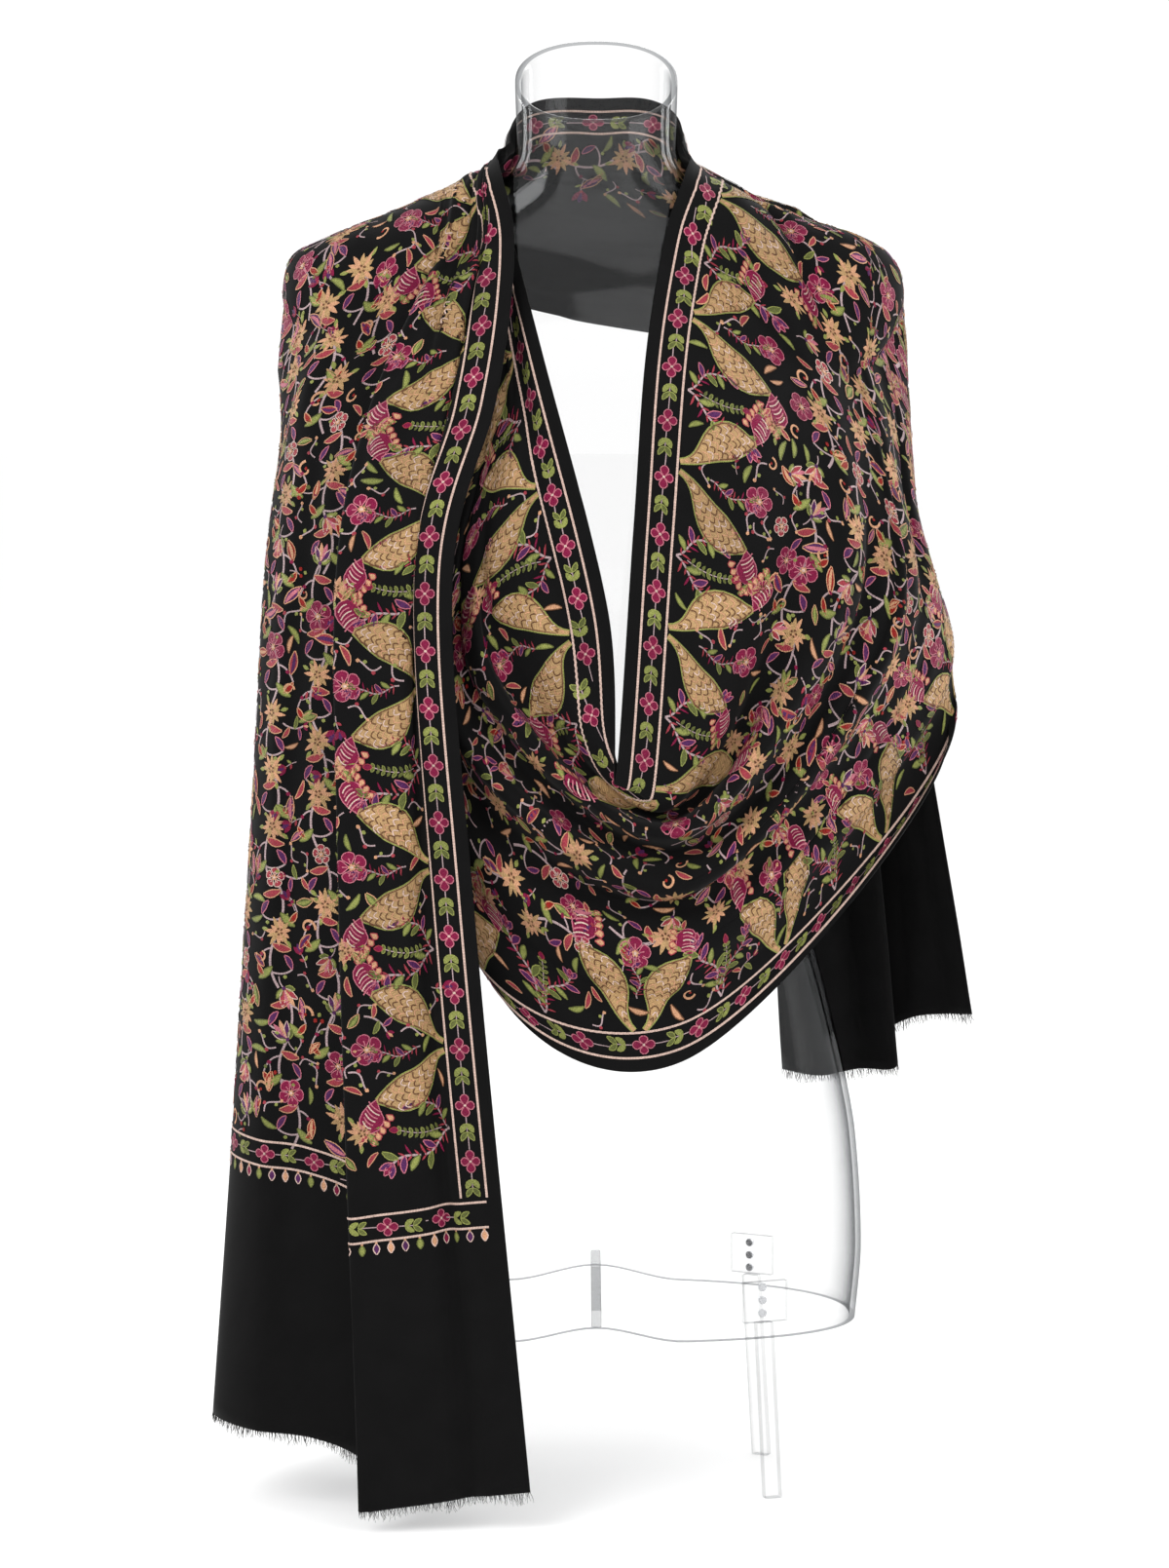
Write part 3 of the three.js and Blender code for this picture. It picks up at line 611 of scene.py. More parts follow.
def almond(mirror):
    """A long almond leaf filled with curls, with a striped cup and a curled tip at its end."""
    m = Motif()
    length, count = 64.0, 15
    t = np.linspace(0, 1, count)
    turn = mirror * 0.34 * np.sin(2 * math.pi * t - 0.5)
    step = np.column_stack([np.cos(turn), np.sin(turn)]) * length / (count - 1)
    spine = np.concatenate([[[0, 0]], np.cumsum(step[:-1], axis=0)])
    profile = 1.7 + 10.4 * np.sin(np.pi * np.clip(t, 0, 1) ** 1.55) ** 1.15
    m.strip(spine, 2 * profile, "beige", 0.1, 0.55)
    side = np.column_stack([-np.sin(turn), np.cos(turn)])
    for edge in (-1, 1):
        m.strip(spine + side * (edge * profile)[:, None], 0.8, "lime", 0.35)
        m.strip(spine + side * (edge * (profile - 1.2))[:, None], 0.6, "brown", 0.45)
    for i in range(1, 17):
        k = i / 17.0 * (count - 1)
        j = min(int(k), count - 2)
        at = spine[j] + (spine[j + 1] - spine[j]) * (k - j)
        half = profile[j] + (profile[j + 1] - profile[j]) * (k - j) - 1.6
        scales = max(int(half / 2.3), 1)
        c, s = math.cos(turn[j]), math.sin(turn[j])
        for n in range(scales):
            across = ((n + 0.5 + 0.25 * (i % 2)) / scales * 2 - 1) * half
            wide = 0.9 * half / scales
            a = np.linspace(-1, 1, 6)
            bow = np.column_stack([2.6 * (1 - a * a), across + wide * a])
            colour = ("brown", "peach", "brown", "cream")[(i + n) % 4]
            m.strip(at + bow @ np.array([[c, s], [-s, c]]), 0.8, colour, 0.75)
    tip, heading = spine[-1], mirror * 0.5
    away = np.array([math.cos(heading), math.sin(heading)])
    aside = np.array([-away[1], away[0]]) * mirror
    m.leaf(*(tip - 1 * away), heading, 22, 16, "magenta", "pink", mirror * 0.9, 8, True)
    for i in range(6):
        start = tip + away * (2.6 * i + 2.4) - aside * (4.4 - 0.5 * i)
        end = tip + away * (2.6 * i + 4.6) + aside * (6.2 - 0.2 * i)
        m.curve(start, (start + end) / 2 + away * 2.2, end, 0.85, "cream" if i % 2 else "pink", 5, 0.65)
    for i in range(5):
        root = tip + away * (5 + 4.2 * i) + aside * 9.6
        m.leaf(*root, heading + mirror * (1.5 - 0.25 * i), 5.6, 4.6, "peach", "rose", 0, 4, True)
    end = tip + away * 21 + aside * 5
    m.leaf(*end, heading + mirror * 1.0, 10, 4.4, "lime", "olive", mirror * 0.5, 5)
    m.leaf(*end, heading - mirror * 0.1, 9, 3.4, "rose", "peach", -mirror * 0.4, 5)
    return m.done()


def drop(colour):
    m = Motif()
    m.dot(0, 1.0, 1.6, "peach", 0.3)
    m.leaf(0, 1.5, math.pi / 2, 7.0, 4.4, colour, "cream" if colour != "lime" else "olive", steps=5)
    return m.done()


def small_leaf(fill, edge):
    m = Motif()
    m.leaf(-7, -1, 0.4, 14.5, 4.0, fill, edge, -0.8, 6)
    return m.done()


def leaf_pair(first, second):
    m = Motif()
    m.curve((-6, -3), (0, -1), (7, 2), 1.0, "stem", 5)
    m.leaf(-1, -1, 1.0, 8.5, 3.8, first, "peach", 0.4, 5)
    m.leaf(1, 0, -0.9, 8.0, 3.6, second, "lime", -0.4, 5)
    m.dot(7.5, 2, 3.0, "magenta")
    return m.done()


def shoot(mirror):
    """A bent stem with three slender leaves and a small bud."""
    m = Motif()
    m.curve((-10, -2 * mirror), (0, 5 * mirror), (11, -1 * mirror), 1.4, "stem", 8)
    m.leaf(-4, 1 * mirror, 1.9 * mirror, 11, 3.8, "rose", "peach", mirror * 0.6, 6)
    m.leaf(1, 2 * mirror, -1.1 * mirror, 11, 3.8, "olive", "lime", -mirror * 0.6, 6)
    m.leaf(6, 1 * mirror, 1.2 * mirror, 10, 3.6, "purple", "pink", mirror * 0.5, 6)
    for angle in (-0.6, 0.0, 0.6):
        m.leaf(11, -1 * mirror, angle, 6, 3.0, "magenta" if angle else "peach", steps=4)
    return m.done()


def tendril():
    m = Motif()
    t = np.linspace(0, 1, 9)
    m.strip(np.column_stack([16 * t - 8, 3.2 * np.sin(4.6 * t)]), 1.1, "stem", 0.1)
    for x, y, colour in ((-3, 4.6, "rose"), (3, -2.4, "lime"), (8, -3.2, "peach")):
        m.dot(x, y, 2.8, colour)
    return m.done()


def vine(bow):
    """A winding stem from one place in the field to the next, with side shoots and leaves."""
    m = Motif()
    reach = FIELD_PITCH / MM
    side = 1 if bow > 0 else -1
    m.curve((0, 0), (bow * 1.4, reach * 0.5), (0, reach), 1.7, "stem", 10, 0.0)
    m.curve((bow * 0.6, reach * 0.3), (bow * 1.5, reach * 0.32), (bow * 1.9, reach * 0.6), 1.2, "stem", 7, 0.0)
    m.curve((bow * 0.6, reach * 0.72), (-bow * 0.4, reach * 0.8), (-bow * 1.1, reach * 0.66), 1.2, "stem", 7, 0.0)
    m.leaf(bow * 0.5, reach * 0.22, math.radians(90 + side * 62), 14, 5.2, "rose", "peach", side * 0.6, 6)
    m.leaf(bow * 0.5, reach * 0.62, math.radians(90 - side * 40), 14, 5.2, "lime", "olive", -side * 0.5, 6)
    m.leaf(bow * 1.9, reach * 0.6, math.radians(90 + side * 30), 10, 4.2, "red", "peach", side * 0.6, 5)
    m.leaf(-bow * 1.1, reach * 0.66, math.radians(-90 + side * 20), 11, 4.4, "purple", "pink", side * 0.6, 5)
    m.dot(bow * 1.45, reach * 0.42, 3.0, "magenta")
    m.dot(-bow * 0.5, reach * 0.8, 2.8, "lime")
    return m.done()


def spray(mirror):
    """A stem that grows in from the strip between two almonds: leaves and spikes on both sides and a bud."""
    m = Motif()
    length, count = 52.0, 12
    t = np.linspace(0, 1, count)
    turn = mirror * 0.5 * np.sin(2.4 * math.pi * t)
    step = np.column_stack([np.cos(turn), np.sin(turn)]) * length / (count - 1)
    spine = np.concatenate([[[0, 0]], np.cumsum(step[:-1], axis=0)])
    m.strip(spine, 1.5, "stem", 0.0)
    kinds = (("olive", "lime"), ("rose", None), ("lime", "olive"), ("magenta", None), ("purple", "pink"))
    for i in range(1, count - 1):
        fill, edge = kinds[i % len(kinds)]
        side = 1 if i % 2 else -1
        spike = edge is None
        m.leaf(*spine[i], turn[i] + side * 0.95, 8.5 if spike else 11.5, 1.6 if spike else 4.6, fill, edge, side * 0.4, 5)
        m.leaf(*spine[i], turn[i] - side * 0.8, 5.0, 1.4, "rose", steps=4)
    for angle, fill in ((-0.5, "purple"), (0.0, "magenta"), (0.5, "purple")):
        m.leaf(*spine[-1], turn[-1] + angle, 10, 4.6, fill, "pink", 0, 5)
    return m.done()


MOTIFS = {
    "border": diamond_flower(), "flower": round_flower(), "small_flower": round_flower("rose", "cream", 7.6, 5),
    "burst": burst(), "pale_burst": burst("beige", "peach"), "leaf": two_tone_leaf(),
    "red_leaf": two_tone_leaf("red", "peach", 15.0), "green_leaf": two_tone_leaf("olive", "lime", 14.0),
    "pink_leaf": two_tone_leaf("rose", "purple", 16.0), "bud": bud(), "fern": fern(), "sprig": spiky_sprig(),
    "hook": hook(), "lily": lily(), "purple_lily": lily("purple"), "berries": berries(),
    "almond": almond(1), "almond_back": almond(-1), "vine": vine(9.0), "vine_back": vine(-9.0),
    "drop_peach": drop("peach"), "drop_purple": drop("purple"), "drop_lime": drop("lime"),
    "drop_magenta": drop("magenta"),
    "lime_leaf": small_leaf("lime", "olive"), "rose_leaf": small_leaf("rose", "peach"),
    "peach_leaf": small_leaf("peach", "brown"), "purple_leaf": small_leaf("purple", "pink"),
    "spray": spray(1), "spray_back": spray(-1), "shoot": shoot(1),
    "shoot_back": shoot(-1), "rose_pair": leaf_pair("rose", "olive"), "tendril": tendril(),
}
GAP_FILLS = (  # clearance in mm a gap must have, and what may fill it
    (12.0, ("pale_burst", "burst", "shoot", "small_flower", "bud", "shoot_back"), 0.88),
    (8.0, ("shoot", "shoot_back", "hook", "rose_pair", "tendril", "bud", "green_leaf"), 0.84),
    (5.2, ("lime_leaf", "rose_leaf", "peach_leaf", "tendril", "tendril"), 0.92),
)
GAP_STEP = 8.5 * MM
FIELD_CYCLE = ("flower", "burst", "lily", "pale_burst", "small_flower", "purple_lily", "pale_burst", "burst")
SMALL_CYCLE = ("leaf", "hook", "red_leaf", "bud", "green_leaf", "berries", "pink_leaf", "bud", "hook", "leaf")


class Embroidery:
    """Motifs laid on one cloth and joined as a single mesh."""

    def __init__(self, cloth, face=1):
        self.cloth, self.face = cloth, face
        self.points, self.uvs, self.colours, self.faces, self.count = [], [], [], [], 0
        self.random = random.Random(11)

    def keep(self, points, uvs, colours, faces):
        self.points.append(points)
        self.uvs.append(uvs)
        self.colours.append(colours)
        self.faces.append(faces + self.count)
        self.count += len(points)

    def add(self, name, row, column, angle=0.0, scale=1.0, flip=False):
        m = MOTIFS[name]
        c, s = math.cos(angle), math.sin(angle)
        x, y = m.points[:, 0] * scale * (-1 if flip else 1), m.points[:, 1] * scale
        x, y = c * x - s * y, s * x + c * y
        lift = (LIFT + m.points[:, 2]) * self.face
        shade = 0.86 + 0.28 * self.random.random()
        colours = m.colours * np.array([shade, shade, shade, 1.0])
        self.keep(self.cloth.place(row, column, x, y, lift), m.uvs, colours, m.faces)

    def thread(self, rows, columns, width, colour, across):
        """One long line of chain stitch through grid places; across is not used."""
        cloth = self.cloth
        middle = cloth.sample(rows, columns, np.full(len(rows), (LIFT + 0.35 * MM) * self.face))
        heading = np.gradient(middle, axis=0)
        normal = cloth.sample(rows, columns, np.full(len(rows), 1.0)) - cloth.sample(rows, columns, np.zeros(len(rows)))
        side = np.cross(heading, normal)
        side /= np.maximum(np.linalg.norm(side, axis=1, keepdims=True), 1e-9)
        length = np.concatenate([[0], np.cumsum(np.linalg.norm(np.diff(middle, axis=0), axis=1))])
        n = len(middle)
        crown = normal * 0.25 * MM * self.face
        points = np.concatenate([middle - side * width / 2, middle + crown, middle + side * width / 2])
        uvs = np.concatenate([np.column_stack([length, np.full(n, k * width)]) for k in (-0.5, 0, 0.5)])
        low = np.arange(n - 1)
        faces = np.concatenate([np.column_stack([low + k * n, low + 1 + k * n, low + 1 + (k + 1) * n, low + (k + 1) * n])
                                for k in (0, 1)])
        self.keep(points, uvs, np.tile(linear(THREADS[colour]), (3 * n, 1)), faces)

    def side_line(self, distance, first, last):
        """A line of chain stitch at a distance from an edge; a negative distance is from the outer one."""
        rows = np.linspace(first, last, int((last - first) * 2) + 2)
        columns = np.array([self.cloth.column_at(r, distance) for r in rows])
        self.thread(rows, columns, 1.5 * MM, "cream", True)

    def object(self, name, material):
        faces = np.concatenate(self.faces)
        points = np.concatenate(self.points)
        if self.cloth.outward * self.face < 0:
            faces = faces[:, ::-1]
        mesh = bpy.data.meshes.new(name)
        mesh.from_pydata(points.tolist(), [], faces.tolist())
        uvs = np.concatenate(self.uvs)
        colours = np.concatenate(self.colours)
        layer = mesh.uv_layers.new(name="stitch")
        corner = np.empty(len(mesh.loops), int)
        mesh.loops.foreach_get("vertex_index", corner)
        layer.data.foreach_set("uv", uvs[corner].ravel())
        thread = mesh.attributes.new("thread", "FLOAT_COLOR", "POINT")
        thread.data.foreach_set("color", colours.ravel())
        mesh.polygons.foreach_set("use_smooth", [True] * len(mesh.polygons))
        return finish_mesh(name, mesh, material)


def side_border(work, first, last, outer=False):
    """The narrow strip along one edge: two lines with diamond flowers between them."""
    cloth = work.cloth
    sign = -1 if outer else 1
    for distance in (STRIP_EDGE, STRIP_EDGE + STRIP_WIDTH):
        work.side_line(sign * distance, first, last)
    edge = cloth.columns if outer else 0
    start, end = cloth.along[int(first), edge], cloth.along[int(last), edge]
    count = max(int(round((end - start) / STRIP_PITCH)), 1)
    for i in range(count):
        row = cloth.row_at(start + (end - start) * (i + 0.45) / count, edge)
        column = cloth.column_at(row, sign * (STRIP_EDGE + STRIP_WIDTH / 2))
        work.add("border", row, column)


def almond_border(work, first, last, outer=False):
    """Pairs of almond leaves growing in from the strip, with sprigs and flowers between them."""
    cloth = work.cloth
    sign = -1 if outer else 1
    edge = cloth.columns if outer else 0
    start, end = cloth.along[int(first), edge], cloth.along[int(last), edge]
    count = max(int(round((end - start) / ALMOND_PITCH)), 1)
    for i in range(count):
        middle = start + (end - start) * (i + 0.5) / count
        base = sign * (STRIP_EDGE + STRIP_WIDTH + 1.5 * MM)

        def put(name, along, inward, angle, scale=1.0):
            row = cloth.row_at(min(max(middle + along, 0), cloth.along[-1, edge]), edge)
            if cloth.width(row) < 3.2 * ALMOND_ZONE and outer:
                return
            work.add(name, row, cloth.column_at(row, base + sign * inward), math.pi - angle if outer else angle, scale,
                     False)

        put("almond", 3 * MM, 0, math.radians(31))
        put("almond_back", -3 * MM, 0, math.radians(-31))
        put("flower", 1 * MM, 58 * MM, 0)
        put("spray", 0, 22 * MM, math.radians(6), 0.66)
        put("spray", 55 * MM, 2 * MM, math.radians(24), 1.0)
        put("spray_back", 55 * MM, 2 * MM, math.radians(-34), 0.85)
        put("fern", 55 * MM, 10 * MM, math.radians(-5), 0.8)
        put("burst", 55 * MM, 66 * MM, 1.0, 0.9)
        put("flower", 34 * MM, 86 * MM, 0.4, 0.9)
        put("lily", -22 * MM, 82 * MM, math.radians(-100), 0.9)


def field(work, first, last, inner, outer, seed):
    """The all-over pattern of vines and flowers, in lanes along the cloth."""
    cloth = work.cloth
    lanes = int(max(cloth.width(r) for r in range(int(first), int(last))) / FIELD_PITCH)
    draw = random.Random(seed)
    for lane in range(lanes):
        inset = inner + (lane + 0.5) * FIELD_PITCH
        middle = int(np.clip(lane / max(lanes - 1, 1), 0, 1) * cloth.columns)
        start, end = cloth.along[int(first), middle], cloth.along[int(last), middle]
        for step in range(int((end - start) / FIELD_PITCH) + 1):
            distance = start + (step + 0.5 * (lane % 2)) * FIELD_PITCH + draw.uniform(-3, 3) * MM
            kind = FIELD_CYCLE[(step * 3 + lane * 5) % len(FIELD_CYCLE)]
            small = SMALL_CYCLE[(step * 7 + lane * 3) % len(SMALL_CYCLE)]
            angle = draw.uniform(-0.7, 0.7) + (math.pi if (step + lane) % 2 else 0)
            if distance > end - 6 * MM:
                continue
            row = cloth.row_at(distance, middle)
            if inset > cloth.width(row) - outer:
                continue
            column = cloth.column_at(row, inset)
            forward = "vine" if (step + lane) % 2 else "vine_back"
            if distance + FIELD_PITCH < end:
                work.add(forward, row, column)
            work.add(kind, row, column, angle, draw.uniform(0.86, 1.05), bool(step % 2))
            side = 1 if (step + lane) % 2 else -1
            near_row = cloth.row_at(min(distance + FIELD_PITCH * 0.45, end), middle)
            near = cloth.column_at(near_row, min(inset + side * 15 * MM, cloth.width(near_row) - 8 * MM))
            work.add(small, near_row, near, draw.uniform(0, 6.28), draw.uniform(0.85, 1.15))
            extra = SMALL_CYCLE[(step * 3 + lane * 7 + 4) % len(SMALL_CYCLE)]
            back_row = cloth.row_at(max(distance - FIELD_PITCH * 0.4, start), middle)
            far = cloth.column_at(back_row, min(inset - side * 13 * MM, cloth.width(back_row) - 8 * MM))
            work.add(extra, back_row, far, draw.uniform(0, 6.28), draw.uniform(0.7, 1.0))


def fill_gaps(work, first, last, outer, seed):
    """Small leaves, buds and curls wherever the pattern still leaves bare ground."""
    cloth = work.cloth
    draw = random.Random(seed)
    sewn = np.concatenate(work.points)[::3]
    tree = KDTree(len(sewn) + 20000)
    for i, point in enumerate(sewn):
        tree.insert(point, i)
    tree.balance()
    added = np.empty((0, 3))
    for step in range(int(cloth.along[int(last), 0] / GAP_STEP) + 60):
        for lane in range(int(cloth.across[:, -1].max() / GAP_STEP) + 1):
            inset = STRIP_EDGE + STRIP_WIDTH + 6 * MM + (lane + draw.random() * 0.7) * GAP_STEP
            middle = int(min(lane * GAP_STEP / cloth.across[:, -1].mean(), 1) * cloth.columns)
            distance = (step + draw.random() * 0.7) * GAP_STEP
            row = cloth.row_at(distance, middle)
            if distance > cloth.along[-1, middle] or not first <= row <= last or inset > cloth.width(row) - outer:
                continue
            column = cloth.column_at(row, inset)
            place = cloth.sample(np.array([row]), np.array([column]), np.array([LIFT * work.face]))[0]
            room = tree.find(place)[2]
            if len(added):
                room = min(room, float(np.min(np.linalg.norm(added[:, :3] - place, axis=1))))
            for clearance, names, scale in GAP_FILLS:
                if room > clearance * MM:
                    name = names[draw.randrange(len(names))]
                    start = len(work.points)
                    work.add(name, row, column, draw.uniform(0, 6.28), scale * draw.uniform(0.85, 1.15))
                    added = np.concatenate([added, np.concatenate(work.points[start:])[::3]])
                    break


def end_border(work, distance):
    """The strip across the cloth above a plain end, with small drops hanging from it."""
    cloth = work.cloth
    ends = cloth.along[-1]
    columns = np.linspace(0, cloth.columns, cloth.columns * 2)

    def row_of(column, from_hem):
        j = int(round(column))
        return float(np.interp(ends[j] - from_hem, cloth.along[:, j], np.arange(cloth.rows + 1)))

    inner = cloth.column_at(row_of(0, distance), STRIP_EDGE)
    outer = cloth.column_at(row_of(cloth.columns, distance), -STRIP_EDGE)
    span = columns[(columns >= inner) & (columns <= outer)]
    for offset in (distance, distance + STRIP_WIDTH):
        rows = np.array([row_of(c, offset) for c in span])
        work.thread(rows, span, 1.5 * MM, "cream", False)
    hem_row = int(row_of(cloth.columns // 2, distance))
    width = cloth.width(hem_row)
    count = int((width - 2 * STRIP_EDGE - STRIP_WIDTH) / STRIP_PITCH)
    for i in range(count):
        column = cloth.column_at(hem_row, STRIP_EDGE + STRIP_WIDTH + (i + 0.5) * STRIP_PITCH)
        work.add("border", row_of(column, distance + STRIP_WIDTH / 2), column, math.pi / 2, 0.96)
    kinds = ("drop_peach", "drop_purple", "drop_lime", "drop_magenta", "drop_peach", "drop_lime", "drop_purple")
    pitch = 9.6 * MM
    for i in range(int((width - 2 * STRIP_EDGE) / pitch)):
        column = cloth.column_at(hem_row, STRIP_EDGE + (i + 0.4) * pitch)
        work.add(kinds[i % len(kinds)], row_of(column, distance - 0.5 * MM), column, 0.0, 1.0)
    return row_of(0, distance), row_of(cloth.columns, distance)


# ============================ meshes ============================


def finish_mesh(name, mesh, material):
    piece = bpy.data.objects.new(name, mesh)
    bpy.context.scene.collection.objects.link(piece)
    mesh.materials.append(material)
    return piece


def bent_grid(name, points, uvs, material, turned=False, closed=False):
    """A bmesh grid moved onto an array of points, with a UV map in metres."""
    rows, columns = points.shape[0] - 1, points.shape[1] - 1
    bm = bmesh.new()
    bmesh.ops.create_grid(bm, x_segments=columns, y_segments=rows, size=0.5)
    if turned:
        bmesh.ops.reverse_faces(bm, faces=bm.faces)
    mesh = bpy.data.meshes.new(name)
    bm.to_mesh(mesh)
    flat = np.empty(len(mesh.vertices) * 3)
    mesh.vertices.foreach_get("co", flat)
    flat = flat.reshape(-1, 3)
    c = np.rint((flat[:, 0] - flat[:, 0].min()) / np.ptp(flat[:, 0]) * columns).astype(int)
    r = np.rint((flat[:, 1] - flat[:, 1].min()) / np.ptp(flat[:, 1]) * rows).astype(int)
    mesh.vertices.foreach_set("co", points[r, c].ravel())
    corner = np.empty(len(mesh.loops), int)
    mesh.loops.foreach_get("vertex_index", corner)
    mesh.uv_layers.new(name="cloth").data.foreach_set("uv", uvs[r, c][corner].ravel())
    bm.free()
    if closed:
        bm = bmesh.new()
        bm.from_mesh(mesh)
        bmesh.ops.remove_doubles(bm, verts=bm.verts, dist=1e-5)
        bmesh.ops.recalc_face_normals(bm, faces=bm.faces)
        bm.to_mesh(mesh)
        bm.free()
    mesh.polygons.foreach_set("use_smooth", [True] * len(mesh.polygons))
    mesh.update()
    return finish_mesh(name, mesh, material)


def kept(piece, slot, *stands_for):
    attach(piece, "root")
    if stands_for:
        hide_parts(*stands_for)
    return piece


def solidified(piece, thickness):
    wall = piece.modifiers.new("wall", "SOLIDIFY")
    wall.thickness = thickness
    wall.offset = 0
    return piece


def cloth_piece(cloth, material, thickness):
    """The stretch itself, with its own UV map: metres across from the neck edge, and along."""
    uvs = np.stack([cloth.across, cloth.along], -1)
    piece = bent_grid(cloth.name + "_cloth", cloth.points, uvs, material, cloth.outward > 0)
    return solidified(piece, thickness)


def fringe_piece(name, cloth, material, reach, seed):
    """Loose warp ends along the hem: thin bent three-sided threads, joined as one mesh."""
    draw = random.Random(seed)
    width = cloth.width(cloth.rows)
    points, faces = [], []
    count = int(width / (0.62 * MM))
    for i in range(count):
        column = cloth.column_at(cloth.rows, width * (i + draw.random()) / count)
        hem = cloth.sample(np.array([cloth.rows, cloth.rows - 3.0]), np.array([column, column]), np.zeros(2))
        down = (hem[0] - hem[1]) / np.linalg.norm(hem[0] - hem[1])
        side = cloth.sample(np.array([float(cloth.rows)]), np.array([min(column + 1, cloth.columns)]), np.zeros(1))[0]
        side = side - cloth.sample(np.array([float(cloth.rows)]), np.array([max(column - 1, 0)]), np.zeros(1))[0]
        side /= np.linalg.norm(side)
        out = np.cross(side, down)
        length = reach * (0.45 + 0.55 * draw.random()) * (0.8 + 0.2 * math.sin(i * 0.09))
        lean, bow, sway = draw.uniform(-0.32, 0.32), draw.uniform(-1.4, 1.4) * MM, draw.uniform(-0.18, 0.18)
        start = len(points)
        wide = 0.42 * MM
        for t in (0.0, 0.35, 0.7, 1.0):
            at = hem[0] + down * (length * t - 0.4 * MM) + side * (lean * length * t * t + bow * math.sin(3.1 * t))
            at = at + out * (sway * length * t)
            thin = wide * (1 - 0.6 * t)
            for corner in (0, 1, 2):
                turn = 2.094 * corner
                points.append(at + side * thin * 0.6 * math.cos(turn) + out * thin * 0.6 * math.sin(turn))
        for ring in range(3):
            for corner in range(3):
                a, b = start + ring * 3 + corner, start + ring * 3 + (corner + 1) % 3
                faces.append((a, b, b + 3, a + 3))
    mesh = bpy.data.meshes.new(name)
    mesh.from_pydata([tuple(p) for p in points], [], faces)
    mesh.polygons.foreach_set("use_smooth", [True] * len(mesh.polygons))
    return finish_mesh(name, mesh, material)


def neck_lifted(points):
    """The slanting cut of the neck, where the tube's height follows its depth."""
    z = points[..., 2]
    share = np.clip((z - NECK_START_Z) / (FORM_LEVELS[-1][0] - NECK_START_Z), 0, 1)
    slope = (points[..., 1] + 52) / 104
    rim = NECK_RIM_FRONT_Z + (NECK_RIM_BACK_Z - NECK_RIM_FRONT_Z) * slope
    lifted = np.where(share > 0, NECK_START_Z + (rim - NECK_START_Z) * share, z)
    return np.stack([points[..., 0], points[..., 1], lifted], -1)


def form_rings(clear, heights, segments):
    angle = np.linspace(0, 2 * math.pi, segments + 1)[None, :]
    rings = neck_lifted(form_clear(angle, heights[:, None], clear))
    middle = np.clip(1 - np.abs(rings[..., 0]) / ARCH_HALF_WIDTH, 0, 1)
    low = np.clip((FORM_LEVELS[1][0] - heights) / (FORM_LEVELS[1][0] - FORM_BASE_Z), 0, 1)[:, None]
    rings[..., 2] += ARCH_RISE * middle * middle * (3 - 2 * middle) * low
    return rings


def form_piece(material, edge_material, segments):
    """The shell: its outer face up from the lower edge, over a rounded rim, and its inner face down."""
    bottom, top = FORM_LEVELS[0][0], FORM_LEVELS[-1][0]
    heights = np.unique(np.concatenate([np.linspace(bottom, 780, 72), np.linspace(780, 900, 46),
                                        np.linspace(900, top, 12)]))
    outer = form_rings(0.0, heights, segments)
    inner = form_rings(-FORM_WALL, heights, segments)
    lift = np.array([0.0, 0.0, 1.0])

    def rim(clear, z, rise):
        return form_rings(clear, np.array([float(z)]), segments) + lift * rise

    rounds = ((-0.3, 0.0), (-1.2, 0.7), (-FORM_WALL / 2, 0.9), (1.2 - FORM_WALL, 0.7), (0.3 - FORM_WALL, 0.0))
    outer[0] += lift * 1.0
    inner[0] += lift * 1.0
    outer[-1] -= lift * 1.0
    inner[-1] -= lift * 1.0
    over = [rim(clear, top, rise - 0.9) for clear, rise in rounds]
    under = [rim(clear, bottom, 0.9 - rise) for clear, rise in rounds[::-1]]
    points = in_part(np.concatenate([outer, *over, inner[::-1], *under, outer[:1]]))
    piece = bent_grid("form_clear_shell", points, np.zeros(points.shape[:2] + (2,)), material, False, True)
    piece.data.materials.append(edge_material)
    low = (FORM_BASE_Z + FRAME_OFFSET[2] + ARCH_RISE + RIM_REACH) * MM
    high = (NECK_RIM_FRONT_Z + FRAME_OFFSET[2] - RIM_REACH) * MM
    for face in piece.data.polygons:
        if abs(face.normal.z) > 0.25 and not low < face.center.z < high:
            face.material_index = 1
    return piece


def bevelled_copy(name, node, material, width, segments):
    """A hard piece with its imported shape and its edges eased."""
    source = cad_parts[node]
    bm = bmesh.new()
    bm.from_mesh(source.data)
    bm.transform(source.matrix_world)
    bmesh.ops.remove_doubles(bm, verts=bm.verts, dist=1e-5)
    bmesh.ops.dissolve_limit(bm, angle_limit=math.radians(2), verts=bm.verts, edges=bm.edges)
    sharp = [e for e in bm.edges if len(e.link_faces) == 2 and e.calc_face_angle() > math.radians(30)]
    bmesh.ops.bevel(bm, geom=sharp, offset=width, segments=segments, affect="EDGES", profile=0.5, material=-1,
                    clamp_overlap=True)
    bmesh.ops.recalc_face_normals(bm, faces=bm.faces)
    mesh = bpy.data.meshes.new(name)
    bm.to_mesh(mesh)
    bm.free()
    return finish_mesh(name, mesh, material)


# ============================ finishes ============================


class Value:
    """A shader socket that takes part in Python expressions."""

    def __init__(self, finish, socket):
        self.finish, self.socket = finish, socket

    def __add__(self, other):
        return self.finish.sum("ADD", self, other)

    def __sub__(self, other):
        return self.finish.sum("SUBTRACT", self, other)

    def __rsub__(self, other):
        return self.finish.sum("SUBTRACT", other, self)

    def __mul__(self, other):
        return self.finish.sum("MULTIPLY", self, other)

    def __pow__(self, other):
        return self.finish.sum("POWER", self, other)

    __radd__ = __add__
    __rmul__ = __mul__


